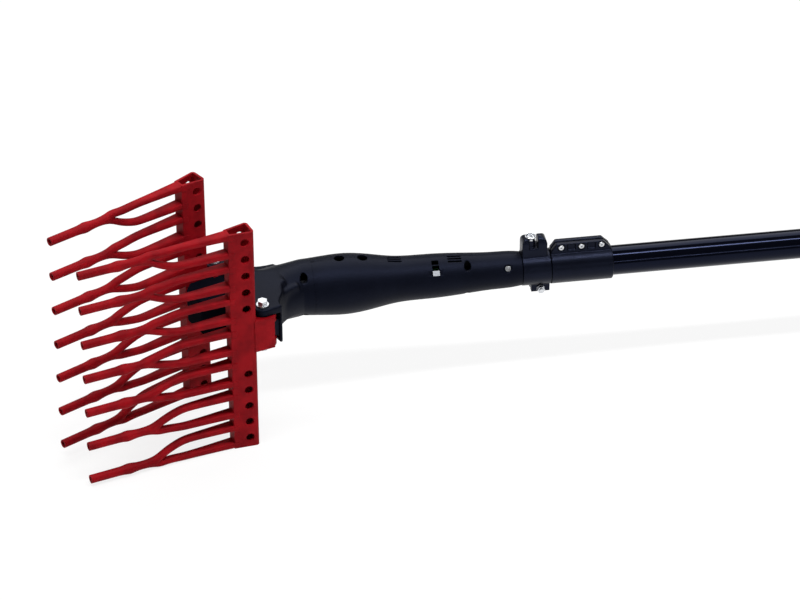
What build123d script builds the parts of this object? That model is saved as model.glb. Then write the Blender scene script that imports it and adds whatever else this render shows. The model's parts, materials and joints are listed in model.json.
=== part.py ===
from build123d import *
import os
from math import cos, radians, sin

# Electric olive harvester, millimetres.
# +X runs back along the pole, +Z along the comb bars, +Y to the far comb.
# The origin is the mouth of the cable inlet at the rear end of the pole, on the pole's axis.

os.makedirs("parts", exist_ok=True)

# Fits and clearances
slip_fit = 0.05          # radial gap of a fixed piece in its seat
running_fit = 0.03       # radial gap of a turning pivot
swing_gap = 0.4          # gap between a fixed face and a swinging face
slide_gap = 0.15         # gap between the crosshead and its guide
pin_gap = 0.35           # gap round the drive pins in the crosshead

# Head layout
housing_rear = -800.0    # X of the housing's rear rim
bend_depth = 263.0       # rear rim to the bend, along the pole axis
head_reach = 77.4        # bend to the line through the comb pivots
head_lift = 3.5          # pivot plane above the pole axis
head_angle = 23.45       # yaw of the head against the pole
close_angle = 6.7        # each comb's turn towards the other one, at rest
pivot_spacing = 110.0    # between the two comb pivots

# Comb bar
bar_length = 288.0
bar_drop = 5.0           # middle of the bar from the pivot plane: down on the near comb, up on the far one
bar_offset = 3.0         # middle of the bar outside the pivot
bar_rear = 13.5          # pivot axis to the bar's rear face
bar_depth = 30.0
bar_back_width = 24.0
bar_front_width = 14.0
bar_wall = 3.0
bar_corner = 4.0
bar_hole_radius = 4.9
bar_hole_setback = 11.5  # rear face to the row of side holes
bar_hole_end = 12.6      # bar's end to the outermost hole
bar_hole_first = 2       # first hole each side of the middle, in hole spacings
bar_hole_last = 6

# Lug of the bar
lug_half_height = 20.5
flange_thickness = 9.5
flange_radius = bar_back_width / 2 + bar_offset
web_thickness = 3.2
web_tail = 8.0           # web's reach behind the pivot
drive_arm = 26.0         # pivot to drive pin
drive_lobe_radius = 9.0
drive_pin_radius = 3.0
pivot_bush_radius = 5.0
pivot_radius = 4.0

# Tines
tine_count = 7
bar_end = 4.7            # bar's end to the middle of the outermost branch
fork_width = 25.0        # between the two branches of one tine
end_pinch = 2.2          # outermost branches sit closer by this
tine_pitch = (bar_length - 2 * bar_end - fork_width + 2 * end_pinch) / (tine_count - 1)
tip_spread = 1.055       # spacing of the tips over that at the bar
tine_length = 175.0      # bar's front face to the tip
branch_height = 8.4      # along the bar
branch_width = 10.4
branch_corner = 2.8
branch_straight = 62.0   # length of the parallel stretch
branch_bend = 34.0
crotch_at = 92.0         # bar's front face to the crotch
stem_at = 106.0          # where the two branches have become one stem
stem_radius = 4.9
shoulder_at = 129.0
shoulder_radius = 6.4
shoulder_length = 5.0
shoulder_swell = 15.0    # stem swells over this length ahead of the shoulder
shoulder_step = 2.0
tip_radius = 5.4
tip_bore_radius = 3.4
tip_bore_depth = 28.0
peg_radius = 2.6

# Pivot bolts
bolt_flange_radius = 7.2
bolt_flange_thickness = 1.6
bolt_hex = 10.0          # across flats
bolt_hex_height = 5.0
nut_height = 6.0
bolt_end = 3.0           # thread past the nut

# Housing: outer radius against the distance from the rear rim
housing_profile = [
    (0.0, 20.0),
    (12.0, 21.4),
    (34.0, 22.0),
    (67.0, 24.0),
    (105.0, 26.0),
    (150.0, 27.6),
    (176.0, 32.0),
    (207.0, 35.5),
    (235.0, 34.2),
    (258.0, 32.6),
]
housing_wall = 3.0
socket_point = 2         # profile point where the seat of the tail tube ends
neck_width = 37.0        # half width of the neck at the front
neck_bottom = 28.5       # below the pivot plane, at the front
ear_thickness = 9.0
ear_radius = 12.0
rim_round = 2.5          # rounded rim of the top plate
arm_gap = 0.6            # lug's flange to the front face of the cross arms
arm_front = flange_radius + arm_gap
arm_span = pivot_spacing / 2 + ear_radius
arm_thickness = 3.4      # at the outer end
arm_corner = 1.4
arm_bottom = 20.0        # below the pivot plane
arm_root = 64.0          # where the arms run out in the neck
arm_root_half = 29.0     # half width there
arm_waist = 22.0         # thickness of the arms where their rear curve turns back
arm_waist_half = 37.0    # and its distance from the head's middle
plate_root = 50.0        # where the top plate runs out in the neck
plate_root_far = 9.0     # half width there, on the far side
plate_root_near = 24.0   # and on the near side
plate_waist_far = 9.0    # width of the far side where its rear curve turns back
ear_front = 5.0          # top plate's front edge ahead of the pivot line
ear_blend = 6.0
boss_gap = 1.0           # boss to the lug's web
boss_radius = flange_radius - web_thickness - boss_gap
boss_arm_half = 9.0
cavity_front = 28.0      # pivot line to the front wall of the cavity

# Housing details
rib_thickness = 3.0
screw_radius = 1.75
screw_head_radius = 3.4
screw_head_height = 2.6
screw_socket_radius = 1.4
screw_recess_radius = 4.2
screw_boss_radius = 4.0
screw_seat = 6.0         # under the head, to the joint of the halves
screw_reach = 10.0       # past the joint of the halves
screw_places = [(257.0, 24.6), (65.0, 18.0)]
tube_screw_at = 17.7
tube_screw_turn = 34.5   # above the near side
tube_screw_seat = 19.4   # underside of the head, from the pole axis
motor_rib_places = [197.0, 241.0]
dimple_radius = 6.0
dimple_depth = 4.0
dimple_places = [213.0, 186.0]
vent_width = 1.8
vent_length = 14.0
vent_pitch = 4.2
vent_count = 3
vent_places = [(149.0, 90.0), (79.0, 78.0)]
window_at = 102.5
window_turn = 38.0       # above the near side
port_turns = [52.0, 68.0]
window_length = 8.0
window_width = 6.0
window_depth = 2.5
window_gap = 0.1

# Drive
crank_back = 48.0        # pivot line to the crank's axis
crank_radius = 3.16
crank_pin_radius = 3.0
roller_radius = 7.0
crank_shaft_radius = 5.0
crank_disc_radius = 13.0
crank_disc_top = -7.0
crank_disc_thickness = 4.5
crank_bearing_radius = 8.0
yoke_play = 1.0          # roller's play in the slot, along the slide
crosshead_thickness = 10.0
crosshead_width = 14.0
yoke_wall = 6.0
guide_wall = 5.0
case_bottom = -21.4
case_top = -12.0
case_radius = 11.5
case_arm_half = 9.5
case_overlap = 1.0       # arm of the case runs into its flange
motor_radius = 22.0
motor_length = 66.0
motor_front = 252.0      # distance ahead of the rear rim
motor_chamfer = 1.5
terminal_offset = 12.0   # motor's terminals, from its axis
terminal_width = 6.0
terminal_thickness = 1.0
terminal_length = 6.0
case_flange_thickness = 11.0
case_flange_radius = 20.0
motor_cap_radius = 20.0
motor_cap_length = 8.0
pilot_radius = 9.0
pilot_length = 4.0

# Control board
board_front = 146.0
board_length = 68.0
board_width = 34.0
board_thickness = 1.6
board_level = -2.8       # underside
rail_width = 3.0
capacitor_radius = 5.0
capacitor_height = 12.0
capacitor_offset = 6.0   # from the board's middle line
capacitor_at = 14.0      # from the board's front edge
heat_sink_length = 20.0
heat_sink_width = 22.0
heat_sink_height = 7.0
heat_sink_at = 40.0

# Pole, tail tube, clamp and collar
tube_radius = 17.5
tube_wall = 2.0
groove_width = 7.0
groove_depth = 0.7
groove_count = 4
tail_depth = 45.0        # tail tube inside the housing
joint_back = 71.0        # rear rim to the joint of tail tube and pole
pole_rear = -110.0
clamp_front = 0.6        # behind the rear rim
clamp_length = 33.6
clamp_wall = 3.2
clamp_split = 3.0
cheek_height = 44.0
cheek_half_width = 9.0
cheek_round = 9.0
cheek_front_thickness = 8.0
cheek_rear_thickness = 11.0
clamp_bolt_back = 11.0
clamp_bolt_seat = 38.0
clamp_bolt_radius = 3.0
clamp_bolt_flange = 6.4
clamp_bolt_hex = 9.0
clamp_bolt_hex_height = 4.0
clamp_bolt_post = 5.5    # radius of the post under the bolt
clamp_floor = 30.0       # floor between the cheeks, from the pole axis
cheek_setback = 4.0      # clamp's rear face to the rear cheek
tip_gap = 1.0            # clamp bolt's tip to the tube
lug_drop = 29.0
pinch_lug_width = 7.0
pinch_lug_length = 22.0
pinch_level = -24.5
pinch_radius = 2.5
pinch_flange = 4.6
pinch_flange_thickness = 1.2
pinch_hex = 8.0
pinch_hex_height = 3.5
pinch_nut_height = 5.0
pinch_end = 7.0          # shank past the lugs
collar_front = 34.6
collar_length = 73.0
collar_wall = 3.6
rib_height = 32.0
rib_half_width = 7.0
rib_slope = 6.0
rib_rear_slope = 11.0
rib_foot = 2.0           # rib's upright ends above the sleeve
rib_front_setback = 1.0
rib_rear_setback = 2.0
collar_screw_count = 3
collar_screw_pitch = 24.0
collar_screw_level = 27.0
collar_pocket = 2.4
collar_pocket_length = 10.0

# Rear handle
grip_front = -330.0
grip_rear = -165.0
grip_wall = 4.0
grip_round = 2.0
grip_groove_count = 8
grip_groove_pitch = 17.0
grip_groove_width = 3.0
grip_groove_depth = 1.0
handle_rear = -14.0
handle_radius = 23.5
handle_cavity_radius = 19.0
handle_round = 3.0
switch_box_front = -142.0
switch_box_rear = -62.0
switch_box_top = 27.0    # from the pole axis
switch_box_half = 12.0
trigger_pivot = -132.0
trigger_offset = 23.0    # pivot's distance from the pole axis
trigger_pin_radius = 2.0
trigger_boss_radius = 3.8
trigger_length = 62.0
trigger_half_width = 7.0
trigger_inner = 20.4     # inner face's distance from the pole axis
trigger_outer = 33.0
trigger_floor = 18.2     # floor of the slot over the pole
trigger_slot_gap = 2.0   # ends of the slot past the trigger
trigger_heel = 15.5      # pivot to the start of the flat inner face
trigger_crown = 37.0     # pivot to the highest point of the trigger's back
switch_front = -104.0
switch_length = 26.0
switch_half_width = 5.0
switch_base = 2.0        # from the pole axis
switch_top = 13.0
plunger_top = 16.0
plunger_radius = 1.6
shelf_half_width = 4.0
cap_thickness = 8.0
cap_spigot = 6.0
inlet_radius = 4.5
gland_radius = 9.0
gland_spigot_radius = 6.5
lead_radius = 2.5
lead_rear = -106.0
lead_gap = 2.0           # lead's end to the board
grommet_thickness = 6.0


def save(piece, name):
    piece.label = name
    export_step(piece, f"parts/{name}.step")


def along(depth):
    return housing_rear - depth


# Frames of the head and the combs
bend_x = along(bend_depth)
turn = radians(head_angle)
head = Plane(
    origin=(bend_x - head_reach * cos(turn), -head_reach * sin(turn), head_lift),
    x_dir=(cos(turn), sin(turn), 0),
    z_dir=(0, 0, 1),
)


def in_head(u, v, w=0.0):
    return head.from_local_coords(Vector(u, v, w))


def comb_frame(side):
    # x back from the tines, y inwards; the far frame stands on its head, so one comb serves both
    angle = turn + side * radians(close_angle)
    return Plane(
        origin=in_head(0, side * pivot_spacing / 2),
        x_dir=(cos(angle), sin(angle), 0),
        z_dir=(0, 0, -side),
    )


near_frame = comb_frame(-1)
far_frame = comb_frame(1)
sides = [("near", near_frame, -1), ("far", far_frame, 1)]


def level(frame, height):
    middle = frame.from_local_coords(Vector(0, 0, height))
    return Plane(origin=middle, x_dir=frame.x_dir, z_dir=frame.z_dir)


bar_front = bar_rear + bar_depth
hole_pitch = (bar_length - 2 * bar_hole_end) / (2 * bar_hole_last)
tine_ranks = [(tine_count - 1) / 2 - index for index in range(tine_count)]
lug_gap_half = lug_half_height - flange_thickness


def bar_section(inset):
    back = bar_back_width / 2 - inset
    front = bar_front_width / 2 - inset
    with BuildSketch(Plane.XY) as section:
        with BuildLine():
            Polyline(
                (-bar_rear - inset, -bar_offset + back),
                (-bar_rear - inset, -bar_offset - back),
                (-bar_front + inset, -bar_offset - front),
                (-bar_front + inset, -bar_offset + front),
                close=True,
            )
        make_face()
        rear_corners = section.vertices().group_by(Axis.X)[-1]
        fillet(rear_corners, bar_corner - inset)
    return section.sketch


def flange_outline():
    with BuildSketch(Plane.XY) as outline:
        Circle(flange_radius)
        with Locations((-bar_rear / 2 - bar_wall / 2, -bar_offset)):
            Rectangle(bar_rear + bar_wall, bar_back_width)
        with Locations((0, drive_arm / 2)):
            SlotCenterToCenter(drive_arm, 2 * drive_lobe_radius, rotation=90)
        with Locations((web_tail / 2 - bar_rear / 2, -flange_radius + web_thickness / 2)):
            Rectangle(bar_rear + web_tail, web_thickness)
    return outline.sketch


def branch_offsets(rank):
    upper = fork_width / 2 - (end_pinch if rank == tine_ranks[0] else 0)
    lower = fork_width / 2 - (end_pinch if rank == tine_ranks[-1] else 0)
    return upper, -lower


def comb_bar(frame):
    middle = -bar_drop
    with BuildPart() as bar:
        with BuildSketch(level(frame, middle - bar_length / 2)):
            add(bar_section(0))
            add(bar_section(bar_wall), mode=Mode.SUBTRACT)
        extrude(amount=bar_length)
        for base in (-lug_half_height, lug_gap_half):
            with BuildSketch(level(frame, base)):
                add(flange_outline())
            extrude(amount=flange_thickness)
        with BuildSketch(level(frame, -lug_gap_half)):
            with Locations((web_tail / 2 - bar_rear / 2, -flange_radius + web_thickness / 2)):
                Rectangle(bar_rear + web_tail, web_thickness)
            with Locations((-bar_rear - bar_wall / 2, -flange_radius / 2)):
                Rectangle(bar_wall, flange_radius)
        extrude(amount=2 * lug_gap_half)
        with BuildSketch(level(frame, middle - bar_length / 2)):
            add(bar_section(bar_wall))
        extrude(amount=bar_length, mode=Mode.SUBTRACT)
        with BuildSketch(level(frame, -lug_half_height)):
            Circle(pivot_bush_radius + slip_fit)
            with Locations((0, drive_arm)):
                Circle(drive_pin_radius + slip_fit)
        extrude(amount=2 * lug_half_height, mode=Mode.SUBTRACT)
        hole_row = Plane(
            origin=frame.from_local_coords(Vector(-bar_rear - bar_hole_setback, 0, middle)),
            x_dir=frame.z_dir,
            z_dir=frame.y_dir,
        )
        with BuildSketch(hole_row):
            for step in range(bar_hole_first, bar_hole_last + 1):
                with Locations((step * hole_pitch, 0), (-step * hole_pitch, 0)):
                    Circle(bar_hole_radius)
        extrude(amount=bar_back_width, both=True, mode=Mode.SUBTRACT)
        peg_row = Plane(
            origin=frame.from_local_coords(Vector(-bar_front, -bar_offset, middle)),
            x_dir=frame.z_dir,
            z_dir=frame.x_dir,
        )
        with BuildSketch(peg_row):
            for rank in tine_ranks:
                for offset in branch_offsets(rank):
                    with Locations((rank * tine_pitch + offset, 0)):
                        Circle(peg_radius + slip_fit)
        extrude(amount=bar_wall, mode=Mode.SUBTRACT)
    return bar.part


def tine(frame, rank):
    height = rank * tine_pitch - bar_drop
    shift = rank * tine_pitch * (tip_spread - 1)
    face = Plane(
        origin=frame.from_local_coords(Vector(-bar_front, -bar_offset, height)),
        x_dir=-frame.x_dir,
        z_dir=frame.y_dir,
    )
    root = Plane(origin=face.origin, x_dir=frame.z_dir, z_dir=frame.x_dir)
    stem = Plane(
        origin=face.from_local_coords(Vector(0, shift, 0)), x_dir=face.x_dir, z_dir=face.z_dir,
    )
    with BuildPart() as fork:
        for offset in branch_offsets(rank):
            with BuildLine(face) as leg:
                FilletPolyline((0, offset), (branch_straight, offset), (stem_at, shift), radius=branch_bend)
            with BuildSketch(root):
                with Locations((offset, 0)):
                    RectangleRounded(branch_height, branch_width, branch_corner)
            sweep(path=leg.line)
        with BuildSketch(stem):
            with BuildLine():
                Polyline(
                    (crotch_at, 0),
                    (crotch_at, stem_radius),
                    (shoulder_at - shoulder_swell, stem_radius),
                    (shoulder_at - shoulder_length, shoulder_radius),
                    (shoulder_at, shoulder_radius),
                    (shoulder_at + shoulder_step, tip_radius),
                    (tine_length, tip_radius),
                    (tine_length, tip_bore_radius),
                    (tine_length - tip_bore_depth, tip_bore_radius),
                    (tine_length - tip_bore_depth, 0),
                    close=True,
                )
            make_face()
        revolve(axis=Axis(stem.origin, stem.x_dir))
        with BuildSketch(root):
            for offset in branch_offsets(rank):
                with Locations((offset, 0)):
                    Circle(peg_radius)
        extrude(amount=bar_wall)
    return fork.part


for name, frame, side in sides:
    bar = comb_bar(frame)
    save(bar, f"{name}_comb_bar")
    for index, rank in enumerate(tine_ranks):
        save(tine(frame, -side * rank), f"{name}_tine_{index + 1}")


# Pivots: a flanged bolt from the top of each ear down to a nut under the lug
ear_bottom = lug_half_height + swing_gap
ear_top = ear_bottom + ear_thickness
nut_top = -lug_half_height - swing_gap
bolt_tip = nut_top - nut_height - bolt_end


def flange_bolt(seat, tip, radius, flange_radius, flange_thickness, hex_width, hex_height):
    # seat is the plane under the flange, the shank runs against its normal
    with BuildPart() as bolt:
        with BuildSketch(seat):
            Circle(flange_radius)
        extrude(amount=flange_thickness)
        with BuildSketch(seat.offset(flange_thickness)):
            RegularPolygon(hex_width / 2, 6, major_radius=False)
        extrude(amount=hex_height)
        with BuildSketch(seat):
            Circle(radius)
        extrude(amount=-tip)
    return bolt.part


def flange_nut(seat, radius, flange_radius, flange_thickness, hex_width, height):
    with BuildPart() as nut:
        with BuildSketch(seat):
            Circle(flange_radius)
        extrude(amount=flange_thickness)
        with BuildSketch(seat):
            RegularPolygon(hex_width / 2, 6, major_radius=False)
        extrude(amount=height)
        with BuildSketch(seat):
            Circle(radius)
        extrude(amount=height, mode=Mode.SUBTRACT)
    return nut.part


for name, frame, side in sides:
    pivot = in_head(0, side * pivot_spacing / 2)
    seat = Plane(origin=(pivot.X, pivot.Y, pivot.Z + ear_top), x_dir=head.x_dir, z_dir=(0, 0, 1))
    bolt = flange_bolt(
        seat, ear_top - bolt_tip, pivot_radius,
        bolt_flange_radius, bolt_flange_thickness, bolt_hex, bolt_hex_height,
    )
    save(bolt, f"{name}_pivot_bolt")
    under = Plane(origin=(pivot.X, pivot.Y, pivot.Z + nut_top), x_dir=head.x_dir, z_dir=(0, 0, -1))
    nut = flange_nut(
        under, pivot_radius + running_fit,
        bolt_flange_radius, bolt_flange_thickness, bolt_hex, nut_height,
    )
    save(nut, f"{name}_pivot_nut")
    with BuildPart() as bushes:
        for base in (-lug_half_height, lug_gap_half):
            with BuildSketch(level(frame, base)):
                Circle(pivot_bush_radius)
                Circle(pivot_radius + running_fit, mode=Mode.SUBTRACT)
            extrude(amount=flange_thickness)
    save(bushes.part, f"{name}_pivot_bushes")
    with BuildPart() as drive_pin:
        with BuildSketch(level(frame, -lug_half_height)):
            with Locations((0, drive_arm)):
                Circle(drive_pin_radius)
        extrude(amount=2 * lug_half_height)
    save(drive_pin.part, f"{name}_drive_pin")


# Crosshead: a slotted yoke at the crank, a stem in its guide and a bar that moves both drive pins
closing = radians(close_angle)
pin_back = drive_arm * sin(closing)
pin_side = pivot_spacing / 2 - drive_arm * cos(closing)
pin_drift = drive_arm * (1 - cos(2 * closing)) / 2
cross_half = crosshead_thickness / 2
slot_half = roller_radius + yoke_play
slot_span = roller_radius + crank_radius + yoke_play
yoke_front = crank_back - slot_half - yoke_wall
yoke_rear = crank_back + slot_half + yoke_wall

with BuildPart() as crosshead:
    with BuildSketch(level(head, -cross_half)):
        with Locations((pin_back, 0)):
            Rectangle(crosshead_width, 2 * pin_side)
        with Locations((pin_back, pin_side), (pin_back, -pin_side)):
            Circle(crosshead_width / 2)
        with Locations(((pin_back + crank_back) / 2, 0)):
            Rectangle(crank_back - pin_back, crosshead_width)
        with Locations((crank_back, 0)):
            RectangleRounded(yoke_rear - yoke_front, 2 * slot_span + 2 * yoke_wall, yoke_wall)
        with Locations((crank_back, 0)):
            RectangleRounded(2 * slot_half, 2 * slot_span, roller_radius, mode=Mode.SUBTRACT)
        with Locations((pin_back, pin_side), (pin_back, -pin_side)):
            SlotCenterToCenter(
                2 * pin_drift, 2 * (drive_pin_radius + pin_gap), rotation=90, mode=Mode.SUBTRACT
            )
    extrude(amount=crosshead_thickness)
save(crosshead.part, "crosshead")

guide_half_width = crosshead_width / 2 + slide_gap
guide_half_height = cross_half + slide_gap
with BuildPart() as guide:
    with BuildSketch(Plane(origin=in_head(arm_front, 0), x_dir=head.y_dir, z_dir=head.x_dir)):
        Rectangle(2 * (guide_half_width + guide_wall), 2 * (guide_half_height + guide_wall))
        Rectangle(2 * guide_half_width, 2 * guide_half_height, mode=Mode.SUBTRACT)
    extrude(amount=cavity_front - arm_front)
save(guide.part, "crosshead_guide")


# Crank: shaft, disc and offset pin in one, with a roller on the pin
crank_axis = in_head(crank_back, 0)
crank_pin_at = in_head(crank_back, -crank_radius)


def crank_level(place, height):
    return Plane(origin=(place.X, place.Y, head_lift + height), x_dir=head.x_dir, z_dir=(0, 0, 1))


with BuildPart() as crank:
    with BuildSketch(crank_level(crank_axis, case_bottom)):
        Circle(crank_shaft_radius)
    extrude(amount=crank_disc_top - case_bottom)
    with BuildSketch(crank_level(crank_axis, crank_disc_top - crank_disc_thickness)):
        Circle(crank_disc_radius)
    extrude(amount=crank_disc_thickness)
    with BuildSketch(crank_level(crank_pin_at, crank_disc_top)):
        Circle(crank_pin_radius)
    extrude(amount=cross_half - crank_disc_top)
save(crank.part, "crank_shaft")

with BuildPart() as roller:
    with BuildSketch(crank_level(crank_pin_at, -cross_half)):
        Circle(roller_radius)
        Circle(crank_pin_radius + running_fit, mode=Mode.SUBTRACT)
    extrude(amount=crosshead_thickness)
save(roller.part, "crank_roller")

with BuildPart() as crank_bearing:
    with BuildSketch(crank_level(crank_axis, case_bottom)):
        Circle(crank_bearing_radius)
        Circle(crank_shaft_radius + running_fit, mode=Mode.SUBTRACT)
    extrude(amount=case_top - case_bottom)
save(crank_bearing.part, "crank_bearing")

across = dict(x_dir=(0, 1, 0), z_dir=(1, 0, 0))
motor_front_x = along(motor_front)
case_front_x = motor_front_x - case_flange_thickness
with BuildPart() as gear_case:
    with BuildSketch(Plane.XY.offset(head_lift + case_bottom)):
        with Locations((crank_axis.X, crank_axis.Y)):
            Circle(case_radius)
        with Locations(((crank_axis.X + case_front_x) / 2, crank_axis.Y / 2)):
            Rectangle(case_front_x - crank_axis.X + case_overlap, 2 * case_arm_half)
    extrude(amount=case_top - case_bottom)
    with BuildSketch(Plane(origin=(case_front_x, 0, 0), **across)):
        Circle(case_flange_radius)
    extrude(amount=case_flange_thickness)
    with BuildSketch(Plane(origin=(motor_front_x - pilot_length, 0, 0), **across)):
        Circle(pilot_radius + slip_fit)
    extrude(amount=pilot_length, mode=Mode.SUBTRACT)
    with BuildSketch(crank_level(crank_axis, case_bottom)):
        Circle(crank_bearing_radius + slip_fit)
    extrude(amount=case_top - case_bottom, mode=Mode.SUBTRACT)
save(gear_case.part, "gear_case")

motor_rear_x = motor_front_x + motor_length
with BuildPart() as motor:
    with BuildSketch(Plane(origin=(motor_front_x, 0, 0), **across)):
        Circle(motor_radius)
    extrude(amount=motor_length)
    chamfer(motor.edges().filter_by(GeomType.CIRCLE), motor_chamfer)
    with BuildSketch(Plane(origin=(motor_front_x - pilot_length, 0, 0), **across)):
        Circle(pilot_radius)
    extrude(amount=pilot_length)
save(motor.part, "motor")

with BuildPart() as motor_cap:
    with BuildSketch(Plane(origin=(motor_rear_x, 0, 0), **across)):
        Circle(motor_cap_radius)
    extrude(amount=motor_cap_length)
    with BuildSketch(Plane(origin=(motor_rear_x + motor_cap_length, 0, 0), **across)):
        with Locations((0, terminal_offset), (0, -terminal_offset)):
            Rectangle(terminal_thickness, terminal_width)
    extrude(amount=terminal_length)
save(motor_cap.part, "motor_brush_cap")

board_front_x = along(board_front)
with BuildPart() as board:
    with BuildSketch(Plane.XY.offset(board_level)):
        with Locations((board_front_x + board_length / 2, 0)):
            Rectangle(board_length, board_width)
    extrude(amount=board_thickness)
    with BuildSketch(Plane.XY.offset(board_level + board_thickness)):
        with Locations(
            (board_front_x + capacitor_at, capacitor_offset),
            (board_front_x + capacitor_at, -capacitor_offset),
        ):
            Circle(capacitor_radius)
    extrude(amount=capacitor_height)
    with BuildSketch(Plane.XY.offset(board_level + board_thickness)):
        with Locations((board_front_x + heat_sink_at, 0)):
            Rectangle(heat_sink_length, heat_sink_width)
    extrude(amount=heat_sink_height)
save(board.part, "control_board")


# Housing: a turned grip and bulb, a bent neck and two cross arms, hollow, in two halves
def housing_line(inset):
    return [(along(depth), radius - inset) for depth, radius in housing_profile]


def turned_body(points):
    with BuildSketch(Plane.XZ) as outline:
        with BuildLine():
            Spline(*points)
            Polyline(points[-1], (points[-1][0], 0), (points[0][0], 0), points[0])
        make_face()
    return outline.sketch


neck_middle = (ear_top - neck_bottom) / 2
neck_height = (ear_top + neck_bottom) / 2
neck_start = housing_profile[-1]
neck_rear = Plane(origin=(along(neck_start[0]), 0, 0), x_dir=(0, 1, 0), z_dir=(-1, 0, 0))


def neck_section(u, height=0.0):
    return Plane(origin=in_head(u, 0, height), x_dir=head.y_dir, z_dir=-head.x_dir)


def arm_outline():
    with BuildSketch(Plane.XY) as outline:
        with BuildLine():
            Polyline(
                (arm_root, arm_root_half),
                (arm_root, -arm_root_half),
            )
            Spline(
                (arm_root, -arm_root_half),
                (arm_front + arm_waist, -arm_waist_half),
                (arm_front + arm_thickness, -arm_span),
                tangents=((-1, 0), (0, -1)),
            )
            Polyline(
                (arm_front + arm_thickness, -arm_span),
                (arm_front, -arm_span),
                (arm_front, arm_span),
                (arm_front + arm_thickness, arm_span),
            )
            Spline(
                (arm_front + arm_thickness, arm_span),
                (arm_front + arm_waist, arm_waist_half),
                (arm_root, arm_root_half),
                tangents=((0, -1), (1, 0)),
            )
        make_face()
        ends = outline.vertices().group_by(Axis.Y)
        fillet(ends[0] + ends[-1], arm_corner)
    return outline.sketch


def top_outline():
    half = pivot_spacing / 2
    reach = arm_front + arm_thickness / 2
    with BuildSketch(Plane.XY) as outline:
        with BuildLine():
            Line((plate_root, plate_root_far), (plate_root, -plate_root_near))
            Spline(
                (plate_root, -plate_root_near),
                (arm_front + arm_waist, -arm_waist_half),
                (arm_front + arm_thickness, -arm_span),
                tangents=((-1, 0), (0, -1)),
            )
            Polyline(
                (arm_front + arm_thickness, -arm_span),
                (arm_front, -arm_span),
                (arm_front, arm_span),
                (arm_front + arm_thickness, arm_span),
            )
            Spline(
                (arm_front + arm_thickness, arm_span),
                (arm_front + plate_waist_far, arm_waist_half),
                (plate_root, plate_root_far),
                tangents=((0, -1), (1, 0)),
            )
        make_face()
        ends = outline.vertices().group_by(Axis.Y)
        fillet(ends[0] + ends[-1], arm_corner)
        with Locations((arm_front / 2 - ear_front / 2, 0)):
            Rectangle(arm_front + ear_front, pivot_spacing)
        with Locations((0, half), (0, -half)):
            Circle(ear_radius)
        with Locations((reach / 2, half), (reach / 2, -half)):
            Rectangle(reach, 2 * ear_radius)
        inner_corners = outline.vertices().filter_by_position(Axis.X, -ear_front - 0.1, -ear_front + 0.1)
        fillet(inner_corners, ear_blend)
    return outline.sketch


def housing_radius(depth):
    for (rear, low), (front, high) in zip(housing_profile, housing_profile[1:]):
        if rear <= depth <= front:
            return low + (high - low) * (depth - rear) / (front - rear)


def radial(depth, angle, radius):
    outward = Vector(0, -cos(radians(angle)), sin(radians(angle)))
    return Plane(origin=Vector(along(depth), 0, 0) + outward * radius, x_dir=(1, 0, 0), z_dir=outward)


inner_line = housing_line(housing_wall)[socket_point:]
board_rear_x = board_front_x + board_length
rail_inner = board_width / 2 - rail_width

# Cross arms and the top plate with the pivot ears, their rims rounded up to where they meet the neck
backwards = Axis(head.origin, head.x_dir)
with BuildPart() as arms:
    with BuildSketch(level(head, -arm_bottom)):
        add(arm_outline())
    extrude(amount=arm_bottom + ear_bottom)
    fillet(arms.faces().sort_by(Axis.Z)[0].edges().sort_by(backwards)[:-1], arm_corner)
with BuildPart() as top_plate:
    with BuildSketch(level(head, ear_bottom)):
        add(top_outline())
    extrude(amount=ear_thickness)
    fillet(top_plate.faces().sort_by(Axis.Z)[-1].edges().sort_by(backwards)[:-1], rim_round)

# Ribs round the motor, rails under the board and bosses for the screws, trimmed to the shell
with BuildPart() as fittings:
    for depth in motor_rib_places:
        with BuildSketch(Plane(origin=(along(depth), 0, 0), **across)):
            Circle(housing_radius(depth) - housing_wall / 2)
            Circle(motor_radius + slip_fit, mode=Mode.SUBTRACT)
        extrude(amount=rib_thickness)
    with BuildSketch(Plane.XY.offset(board_level - rib_thickness)):
        for edge in (1, -1):
            with Locations(((board_front_x + board_rear_x) / 2, edge * (rail_inner + handle_radius / 2))):
                Rectangle(board_length, handle_radius)
    extrude(amount=rib_thickness)
    for depth, height in screw_places:
        with BuildSketch(Plane.XZ):
            with Locations((along(depth), height), (along(depth), -height)):
                Circle(screw_boss_radius)
            # web from the boss out to the shell
            web_middle = height + screw_boss_radius
            with Locations((along(depth), web_middle), (along(depth), -web_middle)):
                Rectangle(screw_boss_radius, 2 * screw_boss_radius)
        extrude(amount=housing_radius(depth), both=True)
    add(turned_body(housing_line(housing_wall / 2)))
    revolve(axis=Axis.X, mode=Mode.INTERSECT)

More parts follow.
